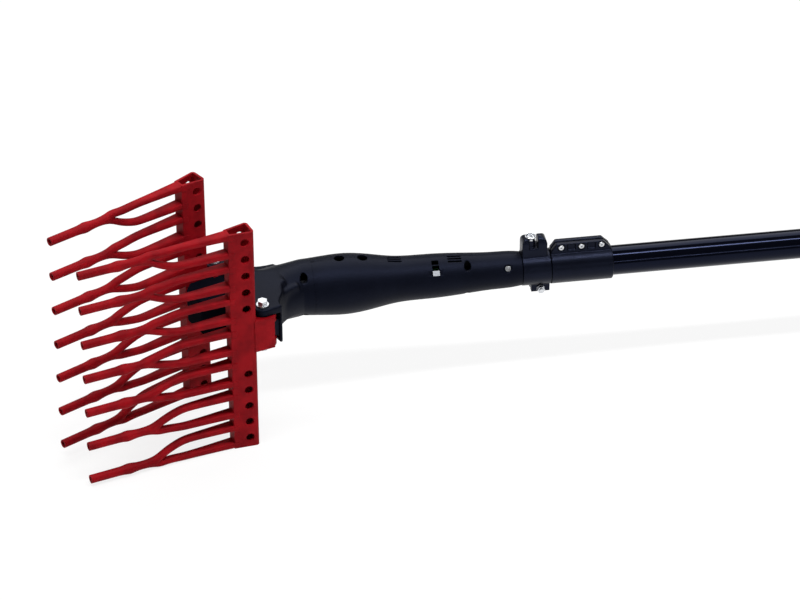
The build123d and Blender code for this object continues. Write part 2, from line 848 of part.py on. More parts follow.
with BuildPart() as housing:
    add(turned_body(housing_line(0)))
    revolve(axis=Axis.X)
    with BuildSketch(neck_rear):
        Circle(neck_start[1])
    with BuildSketch(neck_section(arm_front, neck_middle)):
        Ellipse(neck_width, neck_height)
    loft()
    add(arms.part)
    add(top_plate.part)
    # bosses between the flanges of the lugs
    with BuildSketch(level(head, -lug_gap_half + swing_gap)):
        with Locations((0, pivot_spacing / 2), (0, -pivot_spacing / 2)):
            Circle(boss_radius)
        with Locations((arm_front / 2, pivot_spacing / 2), (arm_front / 2, -pivot_spacing / 2)):
            Rectangle(arm_front, 2 * boss_arm_half)
    extrude(amount=2 * (lug_gap_half - swing_gap))
    # cavity, tail tube seat, guide pocket and pivot holes
    add(turned_body(inner_line))
    revolve(axis=Axis.X, mode=Mode.SUBTRACT)
    with BuildSketch(neck_rear):
        Circle(neck_start[1] - housing_wall)
    with BuildSketch(neck_section(cavity_front, neck_middle)):
        Ellipse(neck_width - housing_wall, neck_height - housing_wall)
    loft(mode=Mode.SUBTRACT)
    with BuildSketch(Plane(origin=(housing_rear, 0, 0), x_dir=(0, 1, 0), z_dir=(-1, 0, 0))):
        Circle(tube_radius + slip_fit)
    extrude(amount=tail_depth, mode=Mode.SUBTRACT)
    with BuildSketch(neck_section(cavity_front)):
        Rectangle(
            2 * (guide_half_width + guide_wall + slip_fit),
            2 * (guide_half_height + guide_wall + slip_fit),
        )
    extrude(amount=cavity_front - arm_front, mode=Mode.SUBTRACT)
    with BuildSketch(level(head, -lug_half_height)):
        with Locations((0, pivot_spacing / 2), (0, -pivot_spacing / 2)):
            Circle(pivot_radius + slip_fit)
    extrude(amount=lug_half_height + ear_top, mode=Mode.SUBTRACT)
    add(fittings.part)
    # screw holes from the near side
    for depth, height in screw_places:
        with BuildSketch(Plane.XZ):
            with Locations((along(depth), height), (along(depth), -height)):
                Circle(screw_radius + slip_fit)
        extrude(amount=screw_seat, mode=Mode.SUBTRACT)
        with BuildSketch(Plane.XZ.offset(-screw_reach)):
            with Locations((along(depth), height), (along(depth), -height)):
                Circle(screw_radius + slip_fit)
        extrude(amount=screw_reach, mode=Mode.SUBTRACT)
        with BuildSketch(Plane.XZ.offset(screw_seat)):
            with Locations((along(depth), height), (along(depth), -height)):
                Circle(screw_recess_radius)
        extrude(amount=housing_radius(depth), mode=Mode.SUBTRACT)
    with BuildSketch(radial(tube_screw_at, tube_screw_turn, 0)):
        Circle(screw_radius + slip_fit)
    extrude(amount=tube_screw_seat, mode=Mode.SUBTRACT)
    with BuildSketch(radial(tube_screw_at, tube_screw_turn, tube_screw_seat)):
        Circle(screw_recess_radius)
    extrude(amount=screw_recess_radius, mode=Mode.SUBTRACT)
    # dimples, vents and the window pocket
    for depth in dimple_places:
        with BuildSketch(radial(depth, 90, housing_radius(depth) - dimple_depth)):
            Circle(dimple_radius)
        extrude(amount=dimple_radius, mode=Mode.SUBTRACT)
    for depth, angle in vent_places:
        with BuildSketch(radial(depth, angle, housing_radius(depth) - 2 * housing_wall)):
            with GridLocations(1, vent_pitch, 1, vent_count):
                SlotOverall(vent_length, vent_width)
        extrude(amount=4 * housing_wall, mode=Mode.SUBTRACT)
    with BuildSketch(radial(window_at, window_turn, housing_radius(window_at) - window_depth)):
        Rectangle(window_length + 2 * window_gap, window_width + 2 * window_gap)
    extrude(amount=window_depth + housing_wall, mode=Mode.SUBTRACT)
    for angle in port_turns:
        with BuildSketch(radial(window_at, angle, housing_radius(window_at) - 2 * housing_wall)):
            Rectangle(window_length, window_width)
        extrude(amount=4 * housing_wall, mode=Mode.SUBTRACT)

# The halves meet on the upright surface through the bent centre line
front_end = in_head(-arm_span, 0)
for name, side in (("near", -1), ("far", 1)):
    with BuildPart() as half:
        add(housing.part)
        with BuildSketch(Plane.XY.offset(-arm_span)):
            with BuildLine():
                Polyline(
                    (housing_rear + arm_span, 0),
                    (bend_x, 0),
                    (front_end.X, front_end.Y),
                    (front_end.X, side * 4 * arm_span),
                    (housing_rear + arm_span, side * 4 * arm_span),
                    close=True,
                )
            make_face()
        extrude(amount=2 * arm_span, mode=Mode.INTERSECT)
    save(half.part, f"housing_{name}_half")


def pan_screw(seat, reach, head_height):
    # seat is the plane under the head, its normal points out of the work
    with BuildPart() as screw:
        with BuildSketch(seat):
            Circle(screw_head_radius)
        extrude(amount=head_height)
        rims = screw.edges().filter_by(GeomType.CIRCLE)
        fillet(rims.sort_by(Axis(seat.origin, seat.z_dir))[-1], head_height / 3)
        with BuildSketch(seat.offset(head_height)):
            RegularPolygon(screw_socket_radius, 6)
        extrude(amount=-head_height / 2, mode=Mode.SUBTRACT)
        with BuildSketch(seat):
            Circle(screw_radius)
        extrude(amount=-reach)
    return screw.part


with BuildPart() as housing_screws:
    for depth, height in screw_places:
        for level_z in (height, -height):
            seat = Plane(origin=(along(depth), -screw_seat, level_z), x_dir=(1, 0, 0), z_dir=(0, -1, 0))
            add(pan_screw(seat, screw_seat + screw_reach, screw_head_height))
save(housing_screws.part, "housing_screws")

tube_screw = pan_screw(
    radial(tube_screw_at, tube_screw_turn, tube_screw_seat),
    tube_screw_seat - tube_radius + tube_wall,
    screw_head_height / 2,
)
save(tube_screw, "tail_tube_screw")

with BuildPart() as window:
    with BuildSketch(radial(window_at, window_turn, housing_radius(window_at) - window_depth)):
        Rectangle(window_length, window_width)
    extrude(amount=window_depth)
save(window.part, "status_window")


# Grooved tubes: the tail tube in the housing and the pole, end to end in the collar
def grooved_tube(front, rear):
    with BuildPart() as tube:
        with BuildSketch(Plane(origin=(front, 0, 0), **across)):
            Circle(tube_radius)
            with PolarLocations(tube_radius, groove_count, start_angle=180 / groove_count):
                Rectangle(2 * groove_depth, groove_width, mode=Mode.SUBTRACT)
            Circle(tube_radius - tube_wall, mode=Mode.SUBTRACT)
        extrude(amount=rear - front)
    return tube.part


joint_x = housing_rear + joint_back
with BuildPart() as tail_tube:
    add(grooved_tube(along(tail_depth), joint_x))
    with BuildSketch(radial(tube_screw_at, tube_screw_turn, 0)):
        Circle(screw_radius + slip_fit)
    extrude(amount=tube_radius + tube_wall, mode=Mode.SUBTRACT)
save(tail_tube.part, "tail_tube")
save(grooved_tube(joint_x, pole_rear), "pole")


# Clamp behind the housing: a split ring with two cheeks, a bolt between them and a pinch bolt below
clamp_x = housing_rear + clamp_front
clamp_radius = tube_radius + slip_fit + clamp_wall
clamp_bolt_x = clamp_x + clamp_bolt_back
pinch_x = clamp_x + clamp_length - pinch_lug_length / 2
cheek_span = clamp_length - cheek_setback
with BuildPart() as cheeks:
    with BuildSketch(Plane.XZ) as dome:
        with Locations((clamp_x + cheek_span / 2, cheek_height / 2)):
            Rectangle(cheek_span, cheek_height)
        fillet(dome.vertices().group_by(Axis.Z)[-1], cheek_round)
        slot_middle = clamp_x + (cheek_front_thickness + cheek_span - cheek_rear_thickness) / 2
        with Locations((slot_middle, cheek_height)):
            Rectangle(
                cheek_span - cheek_front_thickness - cheek_rear_thickness,
                2 * (cheek_height - clamp_floor), mode=Mode.SUBTRACT,
            )
    extrude(amount=cheek_half_width, both=True)
    with BuildSketch(Plane(origin=(clamp_x, 0, 0), **across)):
        with Locations((0, (cheek_height - cheek_half_width) / 2)):
            Rectangle(2 * cheek_half_width, cheek_height - cheek_half_width)
        with Locations((0, cheek_height - cheek_half_width)):
            Circle(cheek_half_width)
    extrude(amount=clamp_length, mode=Mode.INTERSECT)

with BuildPart() as clamp:
    with BuildSketch(Plane(origin=(clamp_x, 0, 0), **across)):
        Circle(clamp_radius)
    extrude(amount=clamp_length)
    add(cheeks.part)
    with BuildSketch(Plane.XY):
        with Locations((clamp_bolt_x, 0)):
            Circle(clamp_bolt_post)
    extrude(amount=clamp_bolt_seat)
    with BuildSketch(Plane.XY.offset(-lug_drop)):
        with Locations((pinch_x, 0)):
            Rectangle(pinch_lug_length, 2 * pinch_lug_width + clamp_split)
    extrude(amount=lug_drop)
    with BuildSketch(Plane(origin=(clamp_x, 0, 0), **across)):
        Circle(tube_radius + slip_fit)
        with Locations((0, -lug_drop)):
            Rectangle(clamp_split, 2 * lug_drop)
    extrude(amount=clamp_length, mode=Mode.SUBTRACT)
    with BuildSketch(Plane.XY.offset(tube_radius)):
        with Locations((clamp_bolt_x, 0)):
            Circle(clamp_bolt_radius + slip_fit)
    extrude(amount=clamp_bolt_seat, mode=Mode.SUBTRACT)
    with BuildSketch(Plane.XY.offset(clamp_bolt_seat)):
        with Locations((clamp_bolt_x, 0)):
            Circle(clamp_bolt_flange + swing_gap)
    extrude(amount=cheek_height, mode=Mode.SUBTRACT)
    with BuildSketch(Plane.XZ):
        with Locations((pinch_x, pinch_level)):
            Circle(pinch_radius + slip_fit)
    extrude(amount=pinch_lug_width + clamp_split, both=True, mode=Mode.SUBTRACT)
save(clamp.part, "clamp_ring")
clamp_bolt = flange_bolt(
    Plane(origin=(clamp_bolt_x, 0, clamp_bolt_seat), x_dir=(1, 0, 0), z_dir=(0, 0, 1)),
    clamp_bolt_seat - tube_radius - tip_gap, clamp_bolt_radius,
    clamp_bolt_flange, bolt_flange_thickness, clamp_bolt_hex, clamp_bolt_hex_height,
)
save(clamp_bolt, "clamp_bolt")
pinch_half = pinch_lug_width + clamp_split / 2
pinch_bolt = flange_bolt(
    Plane(origin=(pinch_x, pinch_half, pinch_level), x_dir=(1, 0, 0), z_dir=(0, 1, 0)),
    2 * pinch_half + pinch_end, pinch_radius,
    pinch_flange, pinch_flange_thickness, pinch_hex, pinch_hex_height,
)
save(pinch_bolt, "pinch_bolt")
pinch_nut = flange_nut(
    Plane(origin=(pinch_x, -pinch_half, pinch_level), x_dir=(1, 0, 0), z_dir=(0, -1, 0)),
    pinch_radius + running_fit,
    pinch_flange, pinch_flange_thickness, pinch_hex, pinch_nut_height,
)
save(pinch_nut, "pinch_nut")


# Collar: a split sleeve over the joint of the tubes, pinched by a rib with three screws
collar_x = housing_rear + collar_front
collar_rear_x = collar_x + collar_length
collar_radius = tube_radius + slip_fit + collar_wall
collar_middle = collar_x + collar_length / 2
rib_front_x = collar_x + rib_front_setback
rib_rear_x = collar_rear_x - rib_rear_setback
with BuildPart() as collar:
    with BuildSketch(Plane(origin=(collar_x, 0, 0), **across)):
        Circle(collar_radius)
    extrude(amount=collar_length)
    with BuildSketch(Plane.XZ):
        with BuildLine():
            Polyline(
                (rib_front_x, 0),
                (rib_front_x, collar_radius + rib_foot),
                (rib_front_x + rib_slope, rib_height),
                (collar_rear_x - rib_rear_slope, rib_height),
                (rib_rear_x, collar_radius + rib_foot),
                (rib_rear_x, 0),
                close=True,
            )
        make_face()
    extrude(amount=rib_half_width, both=True)
    with BuildSketch(Plane(origin=(collar_x, 0, 0), **across)):
        Circle(tube_radius + slip_fit)
        with Locations((0, rib_height)):
            Rectangle(clamp_split / 2, 2 * rib_height)
    extrude(amount=collar_length, mode=Mode.SUBTRACT)
    with BuildSketch(Plane.XZ):
        with Locations((collar_middle, collar_screw_level)):
            with GridLocations(collar_screw_pitch, 1, collar_screw_count, 1):
                Circle(screw_radius + slip_fit)
    extrude(amount=rib_half_width, both=True, mode=Mode.SUBTRACT)
    with BuildSketch(Plane.XZ.offset(rib_half_width - collar_pocket)):
        with Locations((collar_middle, collar_screw_level)):
            with GridLocations(collar_screw_pitch, 1, collar_screw_count, 1):
                Circle(screw_recess_radius)
        with Locations((collar_middle, collar_screw_level)):
            with GridLocations(collar_screw_pitch, 1, collar_screw_count - 1, 1):
                Rectangle(collar_pocket_length, 2 * screw_recess_radius)
    extrude(amount=collar_pocket, mode=Mode.SUBTRACT)
save(collar.part, "pole_collar")

with BuildPart() as collar_screws:
    for step in range(collar_screw_count):
        place = collar_middle + (step - (collar_screw_count - 1) / 2) * collar_screw_pitch
        seat = Plane(
            origin=(place, -rib_half_width + collar_pocket, collar_screw_level),
            x_dir=(1, 0, 0),
            z_dir=(0, -1, 0),
        )
        add(pan_screw(seat, 2 * rib_half_width - collar_pocket, screw_head_height))
save(collar_screws.part, "collar_screws")


# Lead from the switch to the board, held by a grommet in each end of the tubes
with BuildPart() as lead:
    with BuildSketch(Plane(origin=(board_rear_x + lead_gap, 0, 0), **across)):
        Circle(lead_radius)
    extrude(amount=lead_rear - board_rear_x - lead_gap)
save(lead.part, "pole_lead")

for name, start in (("front", along(tail_depth)), ("rear", pole_rear - grommet_thickness)):
    with BuildPart() as grommet:
        with BuildSketch(Plane(origin=(start, 0, 0), **across)):
            Circle(tube_radius - tube_wall - slip_fit)
            Circle(lead_radius + slip_fit, mode=Mode.SUBTRACT)
        extrude(amount=grommet_thickness)
    save(grommet.part, f"{name}_grommet")


# Rear grip: a rubber sleeve with shallow ring grooves
grip_radius = tube_radius + slip_fit + grip_wall
grip_middle = (grip_front + grip_rear) / 2
with BuildPart() as grip:
    with BuildSketch(Plane(origin=(grip_front, 0, 0), **across)):
        Circle(grip_radius)
        Circle(tube_radius + slip_fit, mode=Mode.SUBTRACT)
    extrude(amount=grip_rear - grip_front)
    front_rim = grip.edges().filter_by(GeomType.CIRCLE).group_by(Axis.X)[0].sort_by(SortBy.RADIUS)[-1]
    fillet(front_rim, grip_round)
    for step in range(grip_groove_count):
        start = grip_middle + (step - grip_groove_count / 2) * grip_groove_pitch
        with BuildSketch(Plane(origin=(start, 0, 0), **across)):
            Circle(grip_radius)
            Circle(grip_radius - grip_groove_depth, mode=Mode.SUBTRACT)
        extrude(amount=grip_groove_width, mode=Mode.SUBTRACT)
save(grip.part, "rear_grip")


# Handle with the switch box on the near side
def upright(y):
    return Plane(origin=(0, -y, 0), x_dir=(1, 0, 0), z_dir=(0, -1, 0))


slot_half_width = trigger_half_width + swing_gap
trigger_slot_front = trigger_pivot - trigger_boss_radius - trigger_slot_gap
trigger_slot_rear = trigger_pivot + trigger_length + trigger_slot_gap
box_middle = (switch_box_front + switch_box_rear) / 2
slot_middle = (trigger_slot_front + trigger_slot_rear) / 2
switch_middle = switch_front + switch_length / 2
with BuildPart() as handle:
    with BuildSketch(Plane(origin=(grip_rear, 0, 0), **across)):
        Circle(handle_radius)
    extrude(amount=handle_rear - grip_rear)
    with BuildSketch(upright(0)):
        with Locations((box_middle, 0)):
            RectangleRounded(switch_box_rear - switch_box_front, 2 * switch_box_half, handle_round)
    extrude(amount=switch_box_top)
    with BuildSketch(Plane(origin=(grip_rear, 0, 0), **across)):
        Circle(tube_radius + slip_fit)
    extrude(amount=pole_rear - grip_rear, mode=Mode.SUBTRACT)
    with BuildSketch(Plane(origin=(pole_rear, 0, 0), **across)):
        Circle(handle_cavity_radius)
    extrude(amount=handle_rear - pole_rear, mode=Mode.SUBTRACT)
    with BuildSketch(upright(trigger_floor)):
        with Locations((slot_middle, 0)):
            Rectangle(trigger_slot_rear - trigger_slot_front, 2 * slot_half_width)
    extrude(amount=switch_box_top, mode=Mode.SUBTRACT)
    with BuildSketch(upright(0)):
        with Locations(((pole_rear + trigger_slot_rear) / 2, 0)):
            Rectangle(trigger_slot_rear - pole_rear, 2 * slot_half_width)
    extrude(amount=switch_box_top, mode=Mode.SUBTRACT)
    with BuildSketch(Plane.XY.offset(-switch_box_half)):
        with Locations((trigger_pivot, -trigger_offset)):
            Circle(trigger_pin_radius + slip_fit)
    extrude(amount=2 * switch_box_half, mode=Mode.SUBTRACT)
    # shelf that carries the switch
    with BuildSketch(upright(switch_base)):
        with Locations((switch_middle, 0)):
            Rectangle(switch_length, 2 * shelf_half_width)
    extrude(amount=-handle_cavity_radius - switch_base)
save(handle.part, "rear_handle")

with BuildPart() as trigger:
    with BuildSketch(Plane.XY.offset(-trigger_half_width)):
        with BuildLine():
            Polyline(
                (trigger_pivot, -trigger_offset + trigger_boss_radius / 2),
                (trigger_pivot + trigger_heel, -trigger_inner),
                (trigger_pivot + trigger_length, -trigger_inner),
                (trigger_pivot + trigger_length, -trigger_outer + trigger_boss_radius),
            )
            ThreePointArc(
                (trigger_pivot + trigger_length, -trigger_outer + trigger_boss_radius),
                (trigger_pivot + trigger_crown, -trigger_outer),
                (trigger_pivot, -trigger_offset - trigger_boss_radius),
            )
            Line(
                (trigger_pivot, -trigger_offset - trigger_boss_radius),
                (trigger_pivot, -trigger_offset + trigger_boss_radius / 2),
            )
        make_face()
        with Locations((trigger_pivot, -trigger_offset)):
            Circle(trigger_boss_radius)
            Circle(trigger_pin_radius + running_fit, mode=Mode.SUBTRACT)
    extrude(amount=2 * trigger_half_width)
save(trigger.part, "switch_trigger")

with BuildPart() as trigger_pin:
    with BuildSketch(Plane.XY.offset(-switch_box_half)):
        with Locations((trigger_pivot, -trigger_offset)):
            Circle(trigger_pin_radius)
    extrude(amount=2 * switch_box_half)
save(trigger_pin.part, "trigger_pin")

with BuildPart() as switch:
    with BuildSketch(upright(switch_base)):
        with Locations((switch_middle, 0)):
            Rectangle(switch_length, 2 * switch_half_width)
    extrude(amount=switch_top - switch_base)
    with BuildSketch(upright(switch_top)):
        with Locations((switch_middle, 0)):
            Circle(plunger_radius)
    extrude(amount=plunger_top - switch_top)
save(switch.part, "micro_switch")

with BuildPart() as cap:
    with BuildSketch(Plane(origin=(handle_rear, 0, 0), **across)):
        Circle(handle_radius)
    extrude(amount=cap_thickness)
    fillet(cap.edges().filter_by(GeomType.CIRCLE).sort_by(Axis.X)[-1], handle_round)
    with BuildSketch(Plane(origin=(handle_rear, 0, 0), **across)):
        Circle(handle_cavity_radius - slip_fit)
    extrude(amount=-cap_spigot)
    with BuildSketch(Plane(origin=(handle_rear - cap_spigot, 0, 0), **across)):
        Circle(gland_spigot_radius + slip_fit)
    extrude(amount=cap_spigot + cap_thickness, mode=Mode.SUBTRACT)
save(cap.part, "rear_cap")

with BuildPart() as gland:
    with BuildSketch(Plane(origin=(handle_rear - cap_spigot, 0, 0), **across)):
        Circle(gland_spigot_radius)
    extrude(amount=cap_spigot + cap_thickness)
    with BuildSketch(Plane(origin=(handle_rear + cap_thickness, 0, 0), **across)):
        RegularPolygon(gland_radius, 6)
    extrude(amount=-handle_rear - cap_thickness)
    with BuildSketch(Plane(origin=(handle_rear - cap_spigot, 0, 0), **across)):
        Circle(inlet_radius)
    extrude(amount=cap_spigot - handle_rear, mode=Mode.SUBTRACT)
save(gland.part, "cable_gland")
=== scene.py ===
import json
import math

import bmesh
import bpy
from mathutils import Matrix, Vector


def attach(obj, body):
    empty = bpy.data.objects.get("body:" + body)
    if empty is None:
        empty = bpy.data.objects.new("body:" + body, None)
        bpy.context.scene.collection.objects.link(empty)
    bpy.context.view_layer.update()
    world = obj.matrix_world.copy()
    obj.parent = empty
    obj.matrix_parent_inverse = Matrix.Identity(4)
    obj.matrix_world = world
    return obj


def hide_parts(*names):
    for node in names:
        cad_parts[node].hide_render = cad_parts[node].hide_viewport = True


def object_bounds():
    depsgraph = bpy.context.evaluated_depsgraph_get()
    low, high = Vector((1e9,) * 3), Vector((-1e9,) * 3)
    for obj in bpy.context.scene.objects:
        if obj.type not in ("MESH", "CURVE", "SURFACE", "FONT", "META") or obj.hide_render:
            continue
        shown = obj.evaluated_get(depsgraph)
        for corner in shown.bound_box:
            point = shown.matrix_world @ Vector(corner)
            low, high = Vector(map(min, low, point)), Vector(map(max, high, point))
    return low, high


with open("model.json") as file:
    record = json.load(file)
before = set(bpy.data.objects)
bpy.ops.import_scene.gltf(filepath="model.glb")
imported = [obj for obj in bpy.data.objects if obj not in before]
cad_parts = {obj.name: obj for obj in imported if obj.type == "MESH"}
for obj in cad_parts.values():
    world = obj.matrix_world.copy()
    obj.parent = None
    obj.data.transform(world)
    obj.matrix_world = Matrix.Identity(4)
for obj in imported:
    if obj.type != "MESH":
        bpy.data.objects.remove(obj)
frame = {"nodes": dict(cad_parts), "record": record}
nodes = frame["nodes"]
cadLow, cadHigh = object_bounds()
print("frame loaded:", len(nodes), "nodes")

# camera, at the photograph's angle; the image is taken as 800 by 600
view = {
    "azimuth": -9.25,
    "elevation": 33.0,
    "distance": 3.821,
    "lens": 147.4,
    "sensor": 36.0,
    "nearest": 0.1,
    "farthest": 50.0,
    "rim": Vector((-0.8, 0.0, 0.0)),   # middle of the housing's rear rim
    "aimRight": -0.140,                # aim point, right of the rim and above it as the camera sees them
    "aimUp": -0.03724,
}
turn = math.radians(view["azimuth"])
lift = math.radians(view["elevation"])
right = Vector((math.cos(turn), math.sin(turn), 0.0))
up = Vector((-math.sin(turn) * math.sin(lift), math.cos(turn) * math.sin(lift), math.cos(lift)))
toCamera = right.cross(up)
aim = view["rim"] + right * view["aimRight"] + up * view["aimUp"]

cameraData = bpy.data.cameras.new("camera")
cameraData.lens = view["lens"]
cameraData.sensor_width = view["sensor"]
cameraData.clip_start = view["nearest"]
cameraData.clip_end = view["farthest"]
camera = bpy.data.objects.new("camera", cameraData)
camera.location = aim + toCamera * view["distance"]
camera.rotation_mode = "QUATERNION"
camera.rotation_quaternion = Matrix((right, up, toCamera)).transposed().to_quaternion()
bpy.context.scene.collection.objects.link(camera)
bpy.context.scene.camera = camera
bpy.context.scene.view_settings.view_transform = "Standard"
print("camera set")


def hexColour(code):
    channels = [int(code[i:i + 2], 16) / 255 for i in (1, 3, 5)]
    linear = [c / 12.92 if c <= 0.04045 else ((c + 0.055) / 1.055) ** 2.4 for c in channels]
    return (*linear, 1.0)


# inputs go by name, or by number after an underscore where a node has several of one name
def addNode(tree, kind, settings=None, **inputs):
    node = tree.nodes.new(kind)
    for name, value in (settings or {}).items():
        setattr(node, name, value)
    for name, value in inputs.items():
        socket = node.inputs[int(name[1:])] if name[0] == "_" else node.inputs[name.replace("_", " ")]
        if isinstance(value, bpy.types.NodeSocket):
            tree.links.new(value, socket)
        else:
            socket.default_value = value
    return node


def startMaterial(name):
    material = bpy.data.materials.new(name)
    material.use_nodes = True
    tree = material.node_tree
    tree.nodes.clear()
    return material, tree


edgeRays = {"samples": 4}   # for the edges that the materials round


# glass-filled nylon, injection moulded: low gloss, faint flow marks, fine eroded grain; sizes in mm
nylon = {
    "tints": [(0.35, "#780610"), (0.65, "#910b15")],   # place in the flow marks, colour
    "flowSize": 18.0,
    "flowDetail": 3.0,
    "grainSize": 1.1,        # drawn coarser than the real 0.3 so that it shows
    "grainDetail": 2.0,
    "grainDepth": 0.4,
    "grainStrength": 0.12,
    "smoothest": 0.46,
    "roughest": 0.6,
    "edgeRound": 0.8,
    "refraction": 1.53,
    "glossLevel": 0.06,
}


def redNylon():
    material, tree = startMaterial("redNylonMoulded")
    place = addNode(tree, "ShaderNodeTexCoord").outputs["Object"]
    flow = addNode(
        tree, "ShaderNodeTexNoise",
        Vector=place, Scale=1000 / nylon["flowSize"], Detail=nylon["flowDetail"],
    )
    tint = addNode(tree, "ShaderNodeValToRGB", Fac=flow.outputs["Fac"])
    for stop, (position, colour) in zip(tint.color_ramp.elements, nylon["tints"]):
        stop.position = position
        stop.color = hexColour(colour)
    grain = addNode(
        tree, "ShaderNodeTexNoise",
        Vector=place, Scale=1000 / nylon["grainSize"], Detail=nylon["grainDetail"],
    )
    gloss = addNode(
        tree, "ShaderNodeMapRange",
        Value=grain.outputs["Fac"], To_Min=nylon["smoothest"], To_Max=nylon["roughest"],
    )
    edge = addNode(tree, "ShaderNodeBevel", edgeRays, Radius=nylon["edgeRound"] / 1000)
    bump = addNode(
        tree, "ShaderNodeBump",
        Height=grain.outputs["Fac"], Strength=nylon["grainStrength"], Distance=nylon["grainDepth"] / 1000,
        Normal=edge.outputs["Normal"],
    )
    shader = addNode(
        tree, "ShaderNodeBsdfPrincipled",
        Base_Color=tint.outputs["Color"], Roughness=gloss.outputs["Result"], Normal=bump.outputs["Normal"],
        IOR=nylon["refraction"], Specular_IOR_Level=nylon["glossLevel"],
    )
    addNode(tree, "ShaderNodeOutputMaterial", Surface=shader.outputs[0])
    return material


# black glass-filled nylon, injection moulded in an eroded mould: slightly blue in daylight; sizes in mm
casing = {
    "tints": [(0.35, "#030409"), (0.75, "#070912")],   # place in the worn patches, colour
    "sheen": "#acbaf2",      # blue cast of its gloss
    "patchSize": 30.0,
    "patchDetail": 4.0,
    "grainSize": 1.4,        # drawn coarser than the real 0.4
    "grainDetail": 2.0,
    "grainDepth": 0.5,
    "grainStrength": 0.18,
    "edgeRound": 1.2,
    "refraction": 1.5,
    # how the mould was finished: smoothest, roughest, level of gloss
    "grades": {
        "blackNylonMoulded": (0.42, 0.58, 0.17),
        "blackNylonPolished": (0.3, 0.4, 0.25),
        "blackNylonMatt": (0.7, 0.85, 0.03),
    },
}


def blackNylon(name):
    smoothest, roughest, level = casing["grades"][name]
    material, tree = startMaterial(name)
    place = addNode(tree, "ShaderNodeTexCoord").outputs["Object"]
    patch = addNode(
        tree, "ShaderNodeTexNoise",
        Vector=place, Scale=1000 / casing["patchSize"], Detail=casing["patchDetail"],
    )
    tint = addNode(tree, "ShaderNodeValToRGB", Fac=patch.outputs["Fac"])
    for stop, (position, colour) in zip(tint.color_ramp.elements, casing["tints"]):
        stop.position = position
        stop.color = hexColour(colour)
    grain = addNode(
        tree, "ShaderNodeTexNoise",
        Vector=place, Scale=1000 / casing["grainSize"], Detail=casing["grainDetail"],
    )
    gloss = addNode(
        tree, "ShaderNodeMapRange",
        Value=grain.outputs["Fac"], To_Min=smoothest, To_Max=roughest,
    )
    edge = addNode(tree, "ShaderNodeBevel", edgeRays, Radius=casing["edgeRound"] / 1000)
    bump = addNode(
        tree, "ShaderNodeBump",
        Height=grain.outputs["Fac"], Strength=casing["grainStrength"], Distance=casing["grainDepth"] / 1000,
        Normal=edge.outputs["Normal"],
    )
    shader = addNode(
        tree, "ShaderNodeBsdfPrincipled",
        Base_Color=tint.outputs["Color"], Roughness=gloss.outputs["Result"], Normal=bump.outputs["Normal"],
        IOR=casing["refraction"], Specular_IOR_Level=level, Specular_Tint=hexColour(casing["sheen"]),
    )
    addNode(tree, "ShaderNodeOutputMaterial", Surface=shader.outputs[0])
    return material


# aluminium tube, extruded and black coated: glossy, with fine draw lines along it; sizes in mm
tube = {
    "colour": "#04050b",
    "sheen": "#a2b2f4",
    "lineSize": 0.9,         # across the draw lines
    "lineLength": 260.0,
    "lineDetail": 2.0,
    "lineDepth": 0.3,
    "lineStrength": 0.08,
    "smoothest": 0.07,
    "roughest": 0.13,
    "edgeRound": 0.35,
    "refraction": 1.5,
    "glossLevel": 0.22,
}


def coatedTube():
    material, tree = startMaterial("aluminiumBlackCoated")
    place = addNode(tree, "ShaderNodeTexCoord").outputs["Object"]
    across = 1000 / tube["lineSize"]
    stretch = addNode(
        tree, "ShaderNodeMapping",
        Vector=place, Scale=(1000 / tube["lineLength"], across, across),
    )
    lines = addNode(
        tree, "ShaderNodeTexNoise",
        Vector=stretch.outputs["Vector"], Scale=1.0, Detail=tube["lineDetail"],
    )
    gloss = addNode(
        tree, "ShaderNodeMapRange",
        Value=lines.outputs["Fac"], To_Min=tube["smoothest"], To_Max=tube["roughest"],
    )
    edge = addNode(tree, "ShaderNodeBevel", edgeRays, Radius=tube["edgeRound"] / 1000)
    bump = addNode(
        tree, "ShaderNodeBump",
        Height=lines.outputs["Fac"], Strength=tube["lineStrength"], Distance=tube["lineDepth"] / 1000,
        Normal=edge.outputs["Normal"],
    )
    shader = addNode(
        tree, "ShaderNodeBsdfPrincipled",
        Base_Color=hexColour(tube["colour"]), Roughness=gloss.outputs["Result"],
        Normal=bump.outputs["Normal"], IOR=tube["refraction"], Specular_IOR_Level=tube["glossLevel"],
        Specular_Tint=hexColour(tube["sheen"]),
    )
    addNode(tree, "ShaderNodeOutputMaterial", Surface=shader.outputs[0])
    return material


# steel, zinc plated: bright, with a soft crystalline mottle; sizes in mm
zinc = {
    "colour": "#e6e8eb",
    "dull": "#c6c9ce",
    "spangle": 3.0,
    "smoothest": 0.22,
    "roughest": 0.4,
    "edgeRound": 0.4,
}


def zincSteel():
    material, tree = startMaterial("steelZincPlated")
    place = addNode(tree, "ShaderNodeTexCoord").outputs["Object"]
    spangle = addNode(tree, "ShaderNodeTexVoronoi", Vector=place, Scale=1000 / zinc["spangle"])
    tint = addNode(
        tree, "ShaderNodeMix", {"data_type": "RGBA"},
        _0=spangle.outputs["Distance"], _6=hexColour(zinc["colour"]), _7=hexColour(zinc["dull"]),
    )
    gloss = addNode(
        tree, "ShaderNodeMapRange",
        Value=spangle.outputs["Distance"], To_Min=zinc["smoothest"], To_Max=zinc["roughest"],
    )
    edge = addNode(tree, "ShaderNodeBevel", edgeRays, Radius=zinc["edgeRound"] / 1000)
    shader = addNode(
        tree, "ShaderNodeBsdfPrincipled",
        Base_Color=tint.outputs[2], Roughness=gloss.outputs["Result"], Normal=edge.outputs["Normal"],
        Metallic=1.0,
    )
    addNode(tree, "ShaderNodeOutputMaterial", Surface=shader.outputs[0])
    return material


